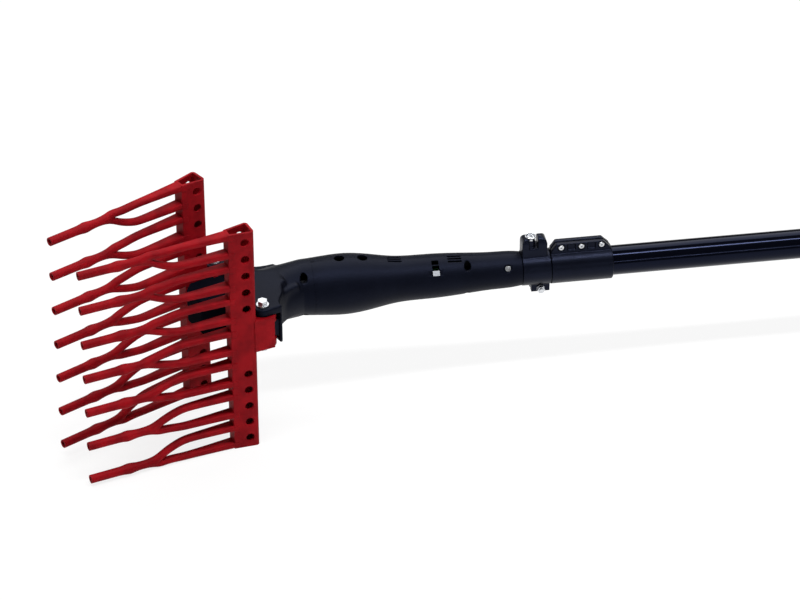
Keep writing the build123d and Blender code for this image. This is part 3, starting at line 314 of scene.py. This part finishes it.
# natural rubber, moulded: matt, with a dusty bloom; sizes in mm
rubber = {
    "colour": "#0d0e11",
    "bloom": "#17181b",
    "bloomSize": 9.0,
    "bloomDetail": 5.0,
    "grainSize": 1.2,
    "grainDetail": 2.0,
    "grainDepth": 0.5,
    "grainStrength": 0.25,
    "smoothest": 0.66,
    "roughest": 0.82,
    "refraction": 1.52,
}


def blackRubber():
    material, tree = startMaterial("rubberMoulded")
    place = addNode(tree, "ShaderNodeTexCoord").outputs["Object"]
    bloom = addNode(
        tree, "ShaderNodeTexNoise",
        Vector=place, Scale=1000 / rubber["bloomSize"], Detail=rubber["bloomDetail"],
    )
    tint = addNode(
        tree, "ShaderNodeMix", {"data_type": "RGBA"},
        _0=bloom.outputs["Fac"], _6=hexColour(rubber["colour"]), _7=hexColour(rubber["bloom"]),
    )
    gloss = addNode(
        tree, "ShaderNodeMapRange",
        Value=bloom.outputs["Fac"], To_Min=rubber["smoothest"], To_Max=rubber["roughest"],
    )
    grain = addNode(
        tree, "ShaderNodeTexNoise",
        Vector=place, Scale=1000 / rubber["grainSize"], Detail=rubber["grainDetail"],
    )
    bump = addNode(
        tree, "ShaderNodeBump",
        Height=grain.outputs["Fac"], Strength=rubber["grainStrength"], Distance=rubber["grainDepth"] / 1000,
    )
    shader = addNode(
        tree, "ShaderNodeBsdfPrincipled",
        Base_Color=tint.outputs[2], Roughness=gloss.outputs["Result"], Normal=bump.outputs["Normal"],
        IOR=rubber["refraction"],
    )
    addNode(tree, "ShaderNodeOutputMaterial", Surface=shader.outputs[0])
    return material


# plain pieces, most of them inside the case: light and dark tint, speckle in mm, metal or not, roughness
plain = {
    "sinteredBronze": ("#a8814a", "#7d5c30", 0.8, 1.0, 0.45),   # powder, pressed and sintered
    "steelDarkAndShade": ("#17181b", "#0d0e10", 1.0, 1.0, 0.45),   # dark steel; on the motor and gear case it is painted shade for the inside of the case
    "motorCan": ("#9a9da1", "#7f8287", 2.5, 1.0, 0.35),         # sheet steel, deep drawn
    "switchPlastic": ("#1b1b1d", "#131315", 1.5, 0.0, 0.45),    # thermoset, moulded
    "boardLacquer": ("#1f5a34", "#174627", 2.0, 0.0, 0.3),      # glass laminate, lacquered green
    "windowAcrylic": ("#b9bdc4", "#a4a8b0", 3.0, 0.0, 0.2),     # moulded
}
plainDetail = 3.0
plainSpread = 0.06   # of the roughness, each way


def plainFinish(name):
    light, dark, size, metallic, rough = plain[name]
    material, tree = startMaterial(name)
    place = addNode(tree, "ShaderNodeTexCoord").outputs["Object"]
    speckle = addNode(
        tree, "ShaderNodeTexNoise",
        Vector=place, Scale=1000 / size, Detail=plainDetail,
    )
    tint = addNode(
        tree, "ShaderNodeMix", {"data_type": "RGBA"},
        _0=speckle.outputs["Fac"], _6=hexColour(dark), _7=hexColour(light),
    )
    gloss = addNode(
        tree, "ShaderNodeMapRange",
        Value=speckle.outputs["Fac"], To_Min=rough - plainSpread, To_Max=rough + plainSpread,
    )
    shader = addNode(
        tree, "ShaderNodeBsdfPrincipled",
        Base_Color=tint.outputs[2], Roughness=gloss.outputs["Result"], Metallic=metallic,
    )
    addNode(tree, "ShaderNodeOutputMaterial", Surface=shader.outputs[0])
    return material


finishes = {
    "red_plastic": redNylon(),
    "black_plastic": blackNylon("blackNylonMoulded"),
    "coated_aluminium": coatedTube(),
    "zinc_steel": zincSteel(),
    "black_rubber": blackRubber(),
    "bronze": plainFinish("sinteredBronze"),
    "motor_metal": plainFinish("motorCan"),
    "switch_plastic": plainFinish("switchPlastic"),
    "board": plainFinish("boardLacquer"),
    "window_plastic": plainFinish("windowAcrylic"),
}
finishes["lead_sheath"] = finishes["black_rubber"]
polishedNylon = blackNylon("blackNylonPolished")
mattNylon = blackNylon("blackNylonMatt")
steelDarkAndShadeFinish = plainFinish("steelDarkAndShade")

# nodes whose finish isn't that of their slot; the dark steel on the motor and gear case is painted shade,
# seen through the front recess
ownFinish = {"housing_screws": steelDarkAndShadeFinish, "gear_case": steelDarkAndShadeFinish, "motor": steelDarkAndShadeFinish}
slotOf = {piece["node"]: piece["material_slot"] for piece in frame["record"]["subparts"]}
for name, node in nodes.items():
    node.data.materials.clear()
    node.data.materials.append(ownFinish.get(name, finishes[slotOf[name]]))
print("finishes assigned")


# small makers for meshes and pieces
def ringFaces(mesh, ring, following):
    count = len(ring)
    for i in range(count):
        mesh.faces.new((ring[i], ring[(i + 1) % count], following[(i + 1) % count], following[i]))


def closedBlock(mesh, ring, following):
    ringFaces(mesh, ring, following)
    mesh.faces.new(ring)
    mesh.faces.new(following)


def roundEdges(mesh, radius, segments):
    bmesh.ops.recalc_face_normals(mesh, faces=mesh.faces)
    bmesh.ops.bevel(
        mesh, geom=mesh.edges[:], offset=radius / 1000, segments=segments, profile=0.5, affect="EDGES",
    )


def meshData(mesh, name):
    bmesh.ops.recalc_face_normals(mesh, faces=mesh.faces)
    data = bpy.data.meshes.new(name)
    mesh.to_mesh(data)
    mesh.free()
    return data


def shadeSmooth(data, sharpAngle=None):
    for face in data.polygons:
        face.use_smooth = True
    if sharpAngle is not None:
        data.set_sharp_from_angle(angle=math.radians(sharpAngle))


def addPiece(name, data, body, slot, finish=None):
    data.name = name
    data.materials.clear()
    data.materials.append(finish or finishes[slot])
    piece = bpy.data.objects.new(name, data)
    bpy.context.scene.collection.objects.link(piece)
    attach(piece, body)
    return piece


# tines: forked red pegs, two flat-topped legs running into one round stem with a bored tip; sizes in mm
tine = {
    "count": 7,
    "pitch": 43.0,          # along the bar
    "spread": 1.055,        # the stems stand this much wider apart than the roots
    "forkWidth": 25.0,
    "barFront": 43.5,       # bar's front face ahead of the pivot
    "barOffset": 3.0,
    "barDrop": 5.0,
    "barHalf": 144.0,
    "crotchAt": 91.0,       # from the bar
    "crotchHalf": 4.5,      # from the crotch to the middle of a leg
    "crotchEdge": 3.3,      # half length of the edge between the two legs
    # along the leg: distance from the bar, share of the fork's half width, half height, half width, corner;
    # the first two lie inside the bar's wall, so that the full section meets its face
    "legs": [
        (-2.6, 1.0, 4.1, 7.0, 1.2),
        (-1.2, 1.0, 4.1, 7.3, 1.2),
        (1.0, 1.0, 4.1, 7.4, 1.2),
        (4.0, 1.0, 4.1, 7.1, 1.2),
        (22.0, 1.0, 4.1, 6.2, 1.5),
        (42.0, 1.0, 4.2, 5.6, 2.2),
        (56.0, 0.985, 4.4, 5.2, 2.5),
        (65.0, 0.90, 4.5, 5.1, 2.6),
        (80.0, 0.60, 4.6, 5.0, 2.6),
    ],
    # along the stem: distance from the bar, half height, half width; the last rows are the bore
    "stem": [
        (98.0, 6.7, 5.2),
        (105.0, 5.3, 5.1),
        (112.0, 5.0, 5.0),
        (119.0, 5.3, 5.3),
        (125.5, 6.5, 6.5),
        (129.5, 6.6, 6.6),
        (135.0, 5.5, 5.5),
        (141.0, 5.3, 5.3),
        (158.0, 5.25, 5.25),
        (173.4, 5.2, 5.2),
        (174.9, 5.2, 5.2),
        (175.0, 5.0, 5.0),
        (175.0, 3.6, 3.6),
        (174.6, 3.45, 3.45),
        (172.0, 3.45, 3.45),
        (149.0, 3.45, 3.45),
        (147.5, 3.3, 3.3),
    ],
    "stemPoints": 14,
    "rounding": 2,          # levels of subdivision
}
outermost = (tine["count"] - 1) / 2
flushLeg = tine["barHalf"] - tine["legs"][0][2]   # middle of a leg that ends with the bar


# from the bar's own frame, back from its front face, aside and up, to the comb's frame at the pivot
def barPoint(back, aside, height):
    return (
        (back - tine["barFront"]) / 1000,
        (aside - tine["barOffset"]) / 1000,
        (height - tine["barDrop"]) / 1000,
    )


# eight corners of a leg's section, as height and width from its middle
def legSection(height, width, corner):
    shortHeight = height - corner
    shortWidth = width - corner
    return [
        (height, shortWidth), (shortHeight, width), (-shortHeight, width), (-height, shortWidth),
        (-height, -shortWidth), (-shortHeight, -width), (shortHeight, -width), (height, -shortWidth),
    ]


def tineMesh(name, rank):
    mesh = bmesh.new()
    middle = rank * tine["pitch"]
    shift = middle * (tine["spread"] - 1)
    crotch = [mesh.verts.new((-tine["crotchAt"], sign * tine["crotchEdge"], shift)) for sign in (1, -1)]
    lastRings = []
    for side in (1, -1):
        half = flushLeg - outermost * tine["pitch"] if side * rank == outermost else tine["forkWidth"] / 2
        rings = []
        for distance, share, height, width, corner in tine["legs"]:
            across = side * half * share + shift * (1 - share)
            section = legSection(height, width, corner)
            rings.append([mesh.verts.new((-distance, v, across + u)) for u, v in section])
        # the leg's last section shares the two corners that face the other leg
        shared = (3, 4) if side > 0 else (0, 7)
        ends = []
        for index, (u, v) in enumerate(legSection(*tine["legs"][-1][2:])):
            if index in shared:
                ends.append(crotch[shared.index(index)])
            else:
                ends.append(mesh.verts.new((-tine["crotchAt"], v, shift + side * tine["crotchHalf"] + u)))
        rings.append(ends)
        mesh.faces.new(rings[0])
        for ring, following in zip(rings, rings[1:]):
            ringFaces(mesh, ring, following)
        lastRings.append(ends)
    # both ends together make the ring that the stem starts from
    upper, lower = lastRings
    ring = [crotch[0]] + [upper[i] for i in (2, 1, 0, 7, 6, 5)]
    ring += [crotch[1]] + [lower[i] for i in (6, 5, 4, 3, 2, 1)]
    for distance, height, width in tine["stem"]:
        following = []
        for k in range(tine["stemPoints"]):
            angle = math.pi / 2 - k * 2 * math.pi / tine["stemPoints"]
            point = (-distance, width * math.sin(angle), shift + height * math.cos(angle))
            following.append(mesh.verts.new(point))
        ringFaces(mesh, ring, following)
        ring = following
    mesh.faces.new(ring)
    for vertex in mesh.verts:
        back, aside, height = vertex.co
        height = max(-tine["barHalf"], min(tine["barHalf"], height + middle))
        vertex.co = barPoint(back, aside, height)
    data = meshData(mesh, name)
    shadeSmooth(data)
    return data


# combs: pivot, turn in plan, and which way up; the far one is the near one turned over
combs = [
    {"name": "near", "pivot": (-1.11212, -0.08126, 0.0035), "turn": 16.75, "flip": False},
    {"name": "far", "pivot": (-1.15589, 0.01966, 0.0035), "turn": 30.15, "flip": True},
]
for comb in combs:
    comb["body"] = f"{comb['name']}_comb"
    comb["place"] = Matrix.Translation(comb["pivot"]) @ Matrix.Rotation(math.radians(comb["turn"]), 4, "Z")
    if comb["flip"]:
        comb["place"] = comb["place"] @ Matrix.Rotation(math.pi, 4, "X")
    for index in range(tine["count"]):
        rank = outermost - index
        if comb["flip"]:
            rank = -rank
        name = f"{comb['name']}Tine{index + 1}"
        data = tineMesh(name, rank)
        data.transform(comb["place"])
        piece = addPiece(name, data, comb["body"], "red_plastic")
        rounding = piece.modifiers.new("rounding", "SUBSURF")
        rounding.levels = tine["rounding"]
        rounding.render_levels = tine["rounding"]
        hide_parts(f"{comb['name']}_tine_{index + 1}")
print("tines made")

# pads: each leg runs on as a low band over the bar's two sides; mm
pad = {
    # back from the bar's front face, and out from its side
    "outline": [(0.0, 0.45), (6.5, 0.45), (6.5, -0.8), (0.0, -0.8)],
    "half": 4.0,              # half height
    "barFrontHalf": 7.0,
    "barSlope": 5.0 / 30.0,   # the bar widens to the rear
    "round": 0.4,
    "roundSteps": 2,
}
for comb in combs:
    mesh = bmesh.new()
    for index in range(tine["count"]):
        for side in (1, -1):
            middle = (outermost - index) * tine["pitch"] + side * tine["forkWidth"] / 2
            middle = max(-flushLeg, min(flushLeg, middle))
            for face in (1, -1):
                levels = []
                for height in (middle + pad["half"], middle - pad["half"]):
                    ring = []
                    for back, out in pad["outline"]:
                        aside = face * (pad["barFrontHalf"] + pad["barSlope"] * back + out)
                        ring.append(mesh.verts.new(barPoint(back, aside, height)))
                    levels.append(ring)
                closedBlock(mesh, *levels)
    roundEdges(mesh, pad["round"], pad["roundSteps"])
    name = f"{comb['name']}LegPads"
    data = meshData(mesh, name)
    data.transform(comb["place"])
    addPiece(name, data, comb["body"], "red_plastic")
print("leg pads made")

# floors: the lower end of each bar is closed a little above its rim; mm in the bar's own frame
barFloor = {
    "outline": [(2.6, 4.7), (2.6, -4.7), (27.4, -9.0), (27.4, 9.0)],   # back and aside
    "levels": (0.6, 2.4),     # above the bar's lower rim
    "round": 0.3,
    "roundSteps": 2,
}
for comb in combs:
    mesh = bmesh.new()
    down = 1 if comb["flip"] else -1
    levels = []
    for level in barFloor["levels"]:
        height = down * (tine["barHalf"] - level)
        ring = [mesh.verts.new(barPoint(back, aside, height)) for back, aside in barFloor["outline"]]
        levels.append(ring)
    closedBlock(mesh, *levels)
    roundEdges(mesh, barFloor["round"], barFloor["roundSteps"])
    name = f"{comb['name']}BarFloor"
    data = meshData(mesh, name)
    data.transform(comb["place"])
    addPiece(name, data, comb["body"], "red_plastic")
print("bar floors made")

# black mouldings: a skin over the solids, eased most where the neck runs into the head; m unless it says mm
neck = {
    "weld": 1e-6,          # points closer than this are one
    "skin": 0.8,           # mm
    "passes": 110,
    "end": -1.040,         # where the neck's skin stops, under the grip's own surface
    "gripFront": -1.046,
    "gripSharp": 32,       # degrees, edges of the grip that stay sharp
    "still": -1.061,       # no easing behind this, so that the two surfaces meet
    "headOrigin": Vector((-1.13400, -0.03080, 0.0035)),   # middle of the pivot line
    "headTurn": 23.45,     # degrees
    "from": 0.019,         # back from the pivot line, where the easing starts
    "to": 0.084,
    "half": 0.047,         # to each side
    "fade": 0.010,
    "elsewhere": 0.02,     # share of the easing on the rest of the neck
    "armFront": 0.015,     # the arms' front faces, set back so that the combs' lugs clear the skin
    "armReach": 0.0014,
    "armLow": 0.009,
    "armHigh": 0.0212,
    "armInner": 0.022,
    "setBack": 0.0006,
}
easeFactor = 0.5
headTurn = math.radians(neck["headTurn"])
headBack = Vector((math.cos(headTurn), math.sin(headTurn), 0.0))
headSide = Vector((-headBack.y, headBack.x, 0.0))


def rampUp(value):
    return min(1.0, max(0.0, value))


def neckShare(point):
    if point.x > neck["still"]:
        return 0.0
    offset = point - neck["headOrigin"]
    back = offset.dot(headBack)
    share = rampUp((back - neck["from"]) / neck["fade"]) * rampUp((neck["to"] - back) / neck["fade"])
    share *= rampUp((neck["half"] - abs(offset.dot(headSide))) / neck["fade"])
    share *= rampUp((neck["still"] - point.x) / neck["fade"])
    return max(neck["elsewhere"], share)


def onArmFront(point):
    offset = point - neck["headOrigin"]
    if abs(offset.dot(headBack) - neck["armFront"]) >= neck["armReach"]:
        return False
    return neck["armLow"] < offset.z < neck["armHigh"] and abs(offset.dot(headSide)) > neck["armInner"]


def cutHalf(node, cut, keepFront):
    half = bmesh.new()
    half.from_mesh(nodes[node].data)
    bmesh.ops.remove_doubles(half, verts=half.verts, dist=neck["weld"])
    parts = half.verts[:] + half.edges[:] + half.faces[:]
    found = bmesh.ops.bisect_plane(
        half, geom=parts, plane_co=(cut, 0.0, 0.0), plane_no=(1.0, 0.0, 0.0),
        clear_outer=keepFront, clear_inner=not keepFront,
    )
    rim = [part for part in found["geom_cut"] if isinstance(part, bmesh.types.BMEdge)]
    bmesh.ops.triangle_fill(half, edges=rim, use_beauty=True)
    return meshData(half, node)


# a mesh as its modifiers leave it; the object that carried them goes
def finalMesh(piece):
    data = bpy.data.meshes.new_from_object(piece.evaluated_get(bpy.context.evaluated_depsgraph_get()))
    bpy.data.objects.remove(piece)
    return data


def skinOf(data, size):
    piece = bpy.data.objects.new("skinning", data)
    bpy.context.scene.collection.objects.link(piece)
    skin = piece.modifiers.new("skin", "REMESH")
    skin.mode = "VOXEL"
    skin.voxel_size = size / 1000
    skin.use_smooth_shade = True
    return finalMesh(piece)


def cutAway(data, toolData):
    piece = bpy.data.objects.new("cutting", data)
    tool = bpy.data.objects.new("tool", toolData)
    bpy.context.scene.collection.objects.link(piece)
    bpy.context.scene.collection.objects.link(tool)
    cut = piece.modifiers.new("cut", "BOOLEAN")
    cut.operation = "DIFFERENCE"
    cut.solver = "EXACT"
    cut.object = tool
    opened = finalMesh(piece)
    bpy.data.objects.remove(tool)
    return opened


def easeSurface(piece, passes, group=""):
    easing = piece.modifiers.new("easing", "SMOOTH")
    easing.factor = easeFactor
    easing.iterations = passes
    easing.vertex_group = group


# vents: three slots side by side at two places, their mouths opened up; mm and degrees round the grip
vent = {
    "places": [(-949.0, 90.0, 25.0), (-879.0, 78.0, 25.0)],   # along the grip, angle, radius
    "length": 16.6,
    "width": 2.6,
    "pitch": 4.2,
    "count": 3,
    "deep": 6.0,
    "points": 24,
}


def ventTool():
    mesh = bmesh.new()
    along = Vector((1.0, 0.0, 0.0))
    endRadius = vent["width"] / 2
    for distance, angle, radius in vent["places"]:
        outward = Vector((0.0, -math.cos(math.radians(angle)), math.sin(math.radians(angle))))
        sideways = outward.cross(along)
        for k in range(vent["count"]):
            middle = along * distance + sideways * (k - (vent["count"] - 1) / 2) * vent["pitch"]
            levels = []
            for depth in (-vent["deep"], vent["deep"]):
                ring = []
                for j in range(vent["points"]):
                    bearing = 2 * math.pi * (j + 0.5) / vent["points"]
                    reach = math.copysign(vent["length"] / 2 - endRadius, math.cos(bearing))
                    point = middle + outward * (radius + depth)
                    point += along * (reach + endRadius * math.cos(bearing))
                    point += sideways * endRadius * math.sin(bearing)
                    ring.append(mesh.verts.new(point / 1000))
                levels.append(ring)
            closedBlock(mesh, *levels)
    return meshData(mesh, "ventTool")


halves = ["housing_near_half", "housing_far_half"]
joined = bmesh.new()
for half in halves:
    joined.from_mesh(cutHalf(half, neck["end"], True))
data = skinOf(meshData(joined, "neckShell"), neck["skin"])
neckShell = addPiece("neckShell", data, "pole_and_housing", "black_plastic")
group = neckShell.vertex_groups.new(name="easing")
for vertex in neckShell.data.vertices:
    if onArmFront(vertex.co):
        vertex.co += headBack * neck["setBack"]
    group.add([vertex.index], neckShare(vertex.co), "REPLACE")
easeSurface(neckShell, neck["passes"], "easing")
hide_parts(*halves)
for name, half in zip(("gripNearHalf", "gripFarHalf"), halves):
    data = cutAway(cutHalf(half, neck["gripFront"], False), ventTool())
    shadeSmooth(data, neck["gripSharp"])
    piece = addPiece(name, data, "pole_and_housing", "black_plastic")
    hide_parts(half)
print("housing eased")

# nose: black cover ahead of the pivots, between the combs; mm in the head's frame
nose = {
    # outline as back and aside, then lower and upper height: the cover, and its joint to the top plate
    "blocks": [
        ([(-14, 34), (-44, 34), (-54, 24), (-54, -10), (-34, -34), (-14, -34)], (-16.0, 27.0)),
        ([(-3, 30), (-18, 30), (-18, -30), (-3, -30)], (21.6, 27.0)),
    ],
    "round": 2.5,
    "roundSteps": 4,
}
mesh = bmesh.new()
for outline, heights in nose["blocks"]:
    levels = []
    for height in heights:
        levels.append([mesh.verts.new((u / 1000, v / 1000, height / 1000)) for u, v in outline])
    closedBlock(mesh, *levels)
roundEdges(mesh, nose["round"], nose["roundSteps"])
data = meshData(mesh, "headNose")
data.transform(Matrix.Translation(neck["headOrigin"]) @ Matrix.Rotation(headTurn, 4, "Z"))
addPiece("headNose", data, "pole_and_housing", "black_plastic", mattNylon)
print("nose made")

# clamp and collar: the same nylon, their rims eased; skin in mm
mouldings = [
    {"name": "clampRing", "node": "clamp_ring", "skin": 0.7, "passes": 5},
    {"name": "poleCollar", "node": "pole_collar", "skin": 0.7, "passes": 3},
]
for moulding in mouldings:
    data = skinOf(nodes[moulding["node"]].data.copy(), moulding["skin"])
    piece = addPiece(moulding["name"], data, "pole_and_housing", "black_plastic", polishedNylon)
    easeSurface(piece, moulding["passes"])
    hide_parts(moulding["node"])
print("clamp and collar eased")


# turned pieces: profiles as distance along the axis and radius, mm
def turned(profile, points):
    mesh = bmesh.new()
    rings = []
    for along, radius in profile:
        ring = []
        for k in range(points):
            angle = 2 * math.pi * k / points
            point = (along / 1000, radius / 1000 * math.cos(angle), radius / 1000 * math.sin(angle))
            ring.append(mesh.verts.new(point))
        rings.append(ring)
    for ring, following in zip(rings, rings[1:]):
        ringFaces(mesh, ring, following)
    return mesh, rings


# pole: one long round tube, its rims just broken
poleTube = {
    "front": -729.0,
    "rear": -110.0,
    "radius": 17.5,
    "bore": 15.5,
    "rim": 0.4,
    "points": 96,
    "sharp": 40,           # degrees
}
front = poleTube["front"]
rear = poleTube["rear"]
outer = poleTube["radius"]
bore = poleTube["bore"]
rim = poleTube["rim"]
poleProfile = [
    (front, bore + rim), (front, outer - rim), (front + rim, outer),
    (rear - rim, outer), (rear, outer - rim), (rear, bore + rim),
    (rear - rim, bore), (front + rim, bore),
]
mesh, rings = turned(poleProfile, poleTube["points"])
ringFaces(mesh, rings[-1], rings[0])
data = meshData(mesh, "poleTube")
shadeSmooth(data, poleTube["sharp"])
piece = addPiece("poleTube", data, "pole_and_housing", "coated_aluminium")
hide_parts("pole")
print("pole made")

# clamp's bolt: a low round flange head with a deep socket, standing in the clamp's top
clampBolt = {
    "axis": (-788.4, 0.0),
    # along the axis and radius: shank, collar, flared rim, ring groove, core and its socket
    "profile": [
        (18.5, 0.6), (18.5, 2.5), (19.0, 3.0), (38.4, 3.0), (38.4, 4.6), (40.5, 4.6),
        (42.3, 6.3), (42.6, 6.5), (43.1, 6.5), (43.4, 6.2), (43.4, 5.6), (43.2, 5.4),
        (41.0, 5.3), (41.0, 4.1), (42.6, 4.0), (42.9, 3.7), (42.9, 2.5), (42.7, 2.3),
        (41.2, 2.3), (41.0, 0.6),
    ],
    "points": 48,
    "sharp": 35,           # degrees
}
mesh, rings = turned(clampBolt["profile"], clampBolt["points"])
mesh.faces.new(rings[0])
mesh.faces.new(rings[-1])
data = meshData(mesh, "clampBolt")
shadeSmooth(data, clampBolt["sharp"])
axisX, axisY = clampBolt["axis"]
upright = Matrix.Rotation(-math.pi / 2, 4, "Y")
data.transform(Matrix.Translation((axisX / 1000, axisY / 1000, 0.0)) @ upright)
piece = addPiece("clampBolt", data, "pole_and_housing", "zinc_steel")
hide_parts("clamp_bolt")
print("clamp bolt made")

# studio: white paper under the bars' ends, mostly bright by itself to the camera, with the soft shadow kept
studio = {
    "white": "#ffffff",
    "floorSize": 12.0,
    "floorMiddle": -0.7,
    "ownLight": 0.82,        # share of the paper's own light in what is seen of it
    "ownStrength": 1.0,
    "skyStrength": 0.08,
}
bpy.ops.mesh.primitive_plane_add(size=studio["floorSize"], location=(studio["floorMiddle"], 0.0, cadLow.z))
floor = bpy.context.object
floor.name = "studioFloor"
floorMaterial, tree = startMaterial("studioFloorPaper")
ray = addNode(tree, "ShaderNodeLightPath")
seenOrMirrored = addNode(
    tree, "ShaderNodeMath", {"operation": "MAXIMUM"},
    _0=ray.outputs["Is Camera Ray"], _1=ray.outputs["Is Glossy Ray"],
)
seen = addNode(
    tree, "ShaderNodeMath", {"operation": "MAXIMUM"},
    _0=seenOrMirrored.outputs[0], _1=ray.outputs["Is Transmission Ray"],
)
share = addNode(
    tree, "ShaderNodeMath", {"operation": "MULTIPLY"},
    _0=seen.outputs[0], _1=studio["ownLight"],
)
paper = addNode(tree, "ShaderNodeBsdfDiffuse", Color=hexColour(studio["white"]))
glow = addNode(tree, "ShaderNodeEmission", Strength=studio["ownStrength"])
floorShader = addNode(
    tree, "ShaderNodeMixShader",
    _0=share.outputs[0], _1=paper.outputs[0], _2=glow.outputs[0],
)
addNode(tree, "ShaderNodeOutputMaterial", Surface=floorShader.outputs[0])
floor.data.materials.append(floorMaterial)

world = bpy.data.worlds.new("studioSky")
bpy.context.scene.world = world
world.use_nodes = True
tree = world.node_tree
tree.nodes.clear()
sky = addNode(
    tree, "ShaderNodeBackground",
    Color=hexColour(studio["white"]), Strength=studio["skyStrength"],
)
addNode(tree, "ShaderNodeOutputWorld", Surface=sky.outputs[0])

# long soft boxes along the pole: one high up, one low on the near side, a wide one behind; m and watts
softBoxes = [
    {
        "name": "topBox", "place": (-0.75, -0.5, 1.6), "aim": (-0.75, 0.0, 0.0),
        "size": (3.2, 0.13), "power": 38.0,
    },
    {
        "name": "frontBox", "place": (-0.75, -2.0, 0.62), "aim": (-0.75, 0.0, 0.0),
        "size": (3.2, 0.05), "power": 5.0,
    },
    {
        "name": "backBox", "place": (-0.9, 1.25, 1.75), "aim": (-0.9, 0.0, 0.0),
        "size": (3.4, 1.7), "power": 46.0,
    },
]
for box in softBoxes:
    lampData = bpy.data.lights.new(box["name"], "AREA")
    lampData.shape = "RECTANGLE"
    lampData.size, lampData.size_y = box["size"]
    lampData.energy = box["power"]
    lamp = bpy.data.objects.new(box["name"], lampData)
    lamp.location = box["place"]
    lamp.rotation_mode = "QUATERNION"
    lamp.rotation_quaternion = (Vector(box["aim"]) - Vector(box["place"])).to_track_quat("-Z", "Y")
    lamp.visible_camera = False
    bpy.context.scene.collection.objects.link(lamp)
print("studio set")
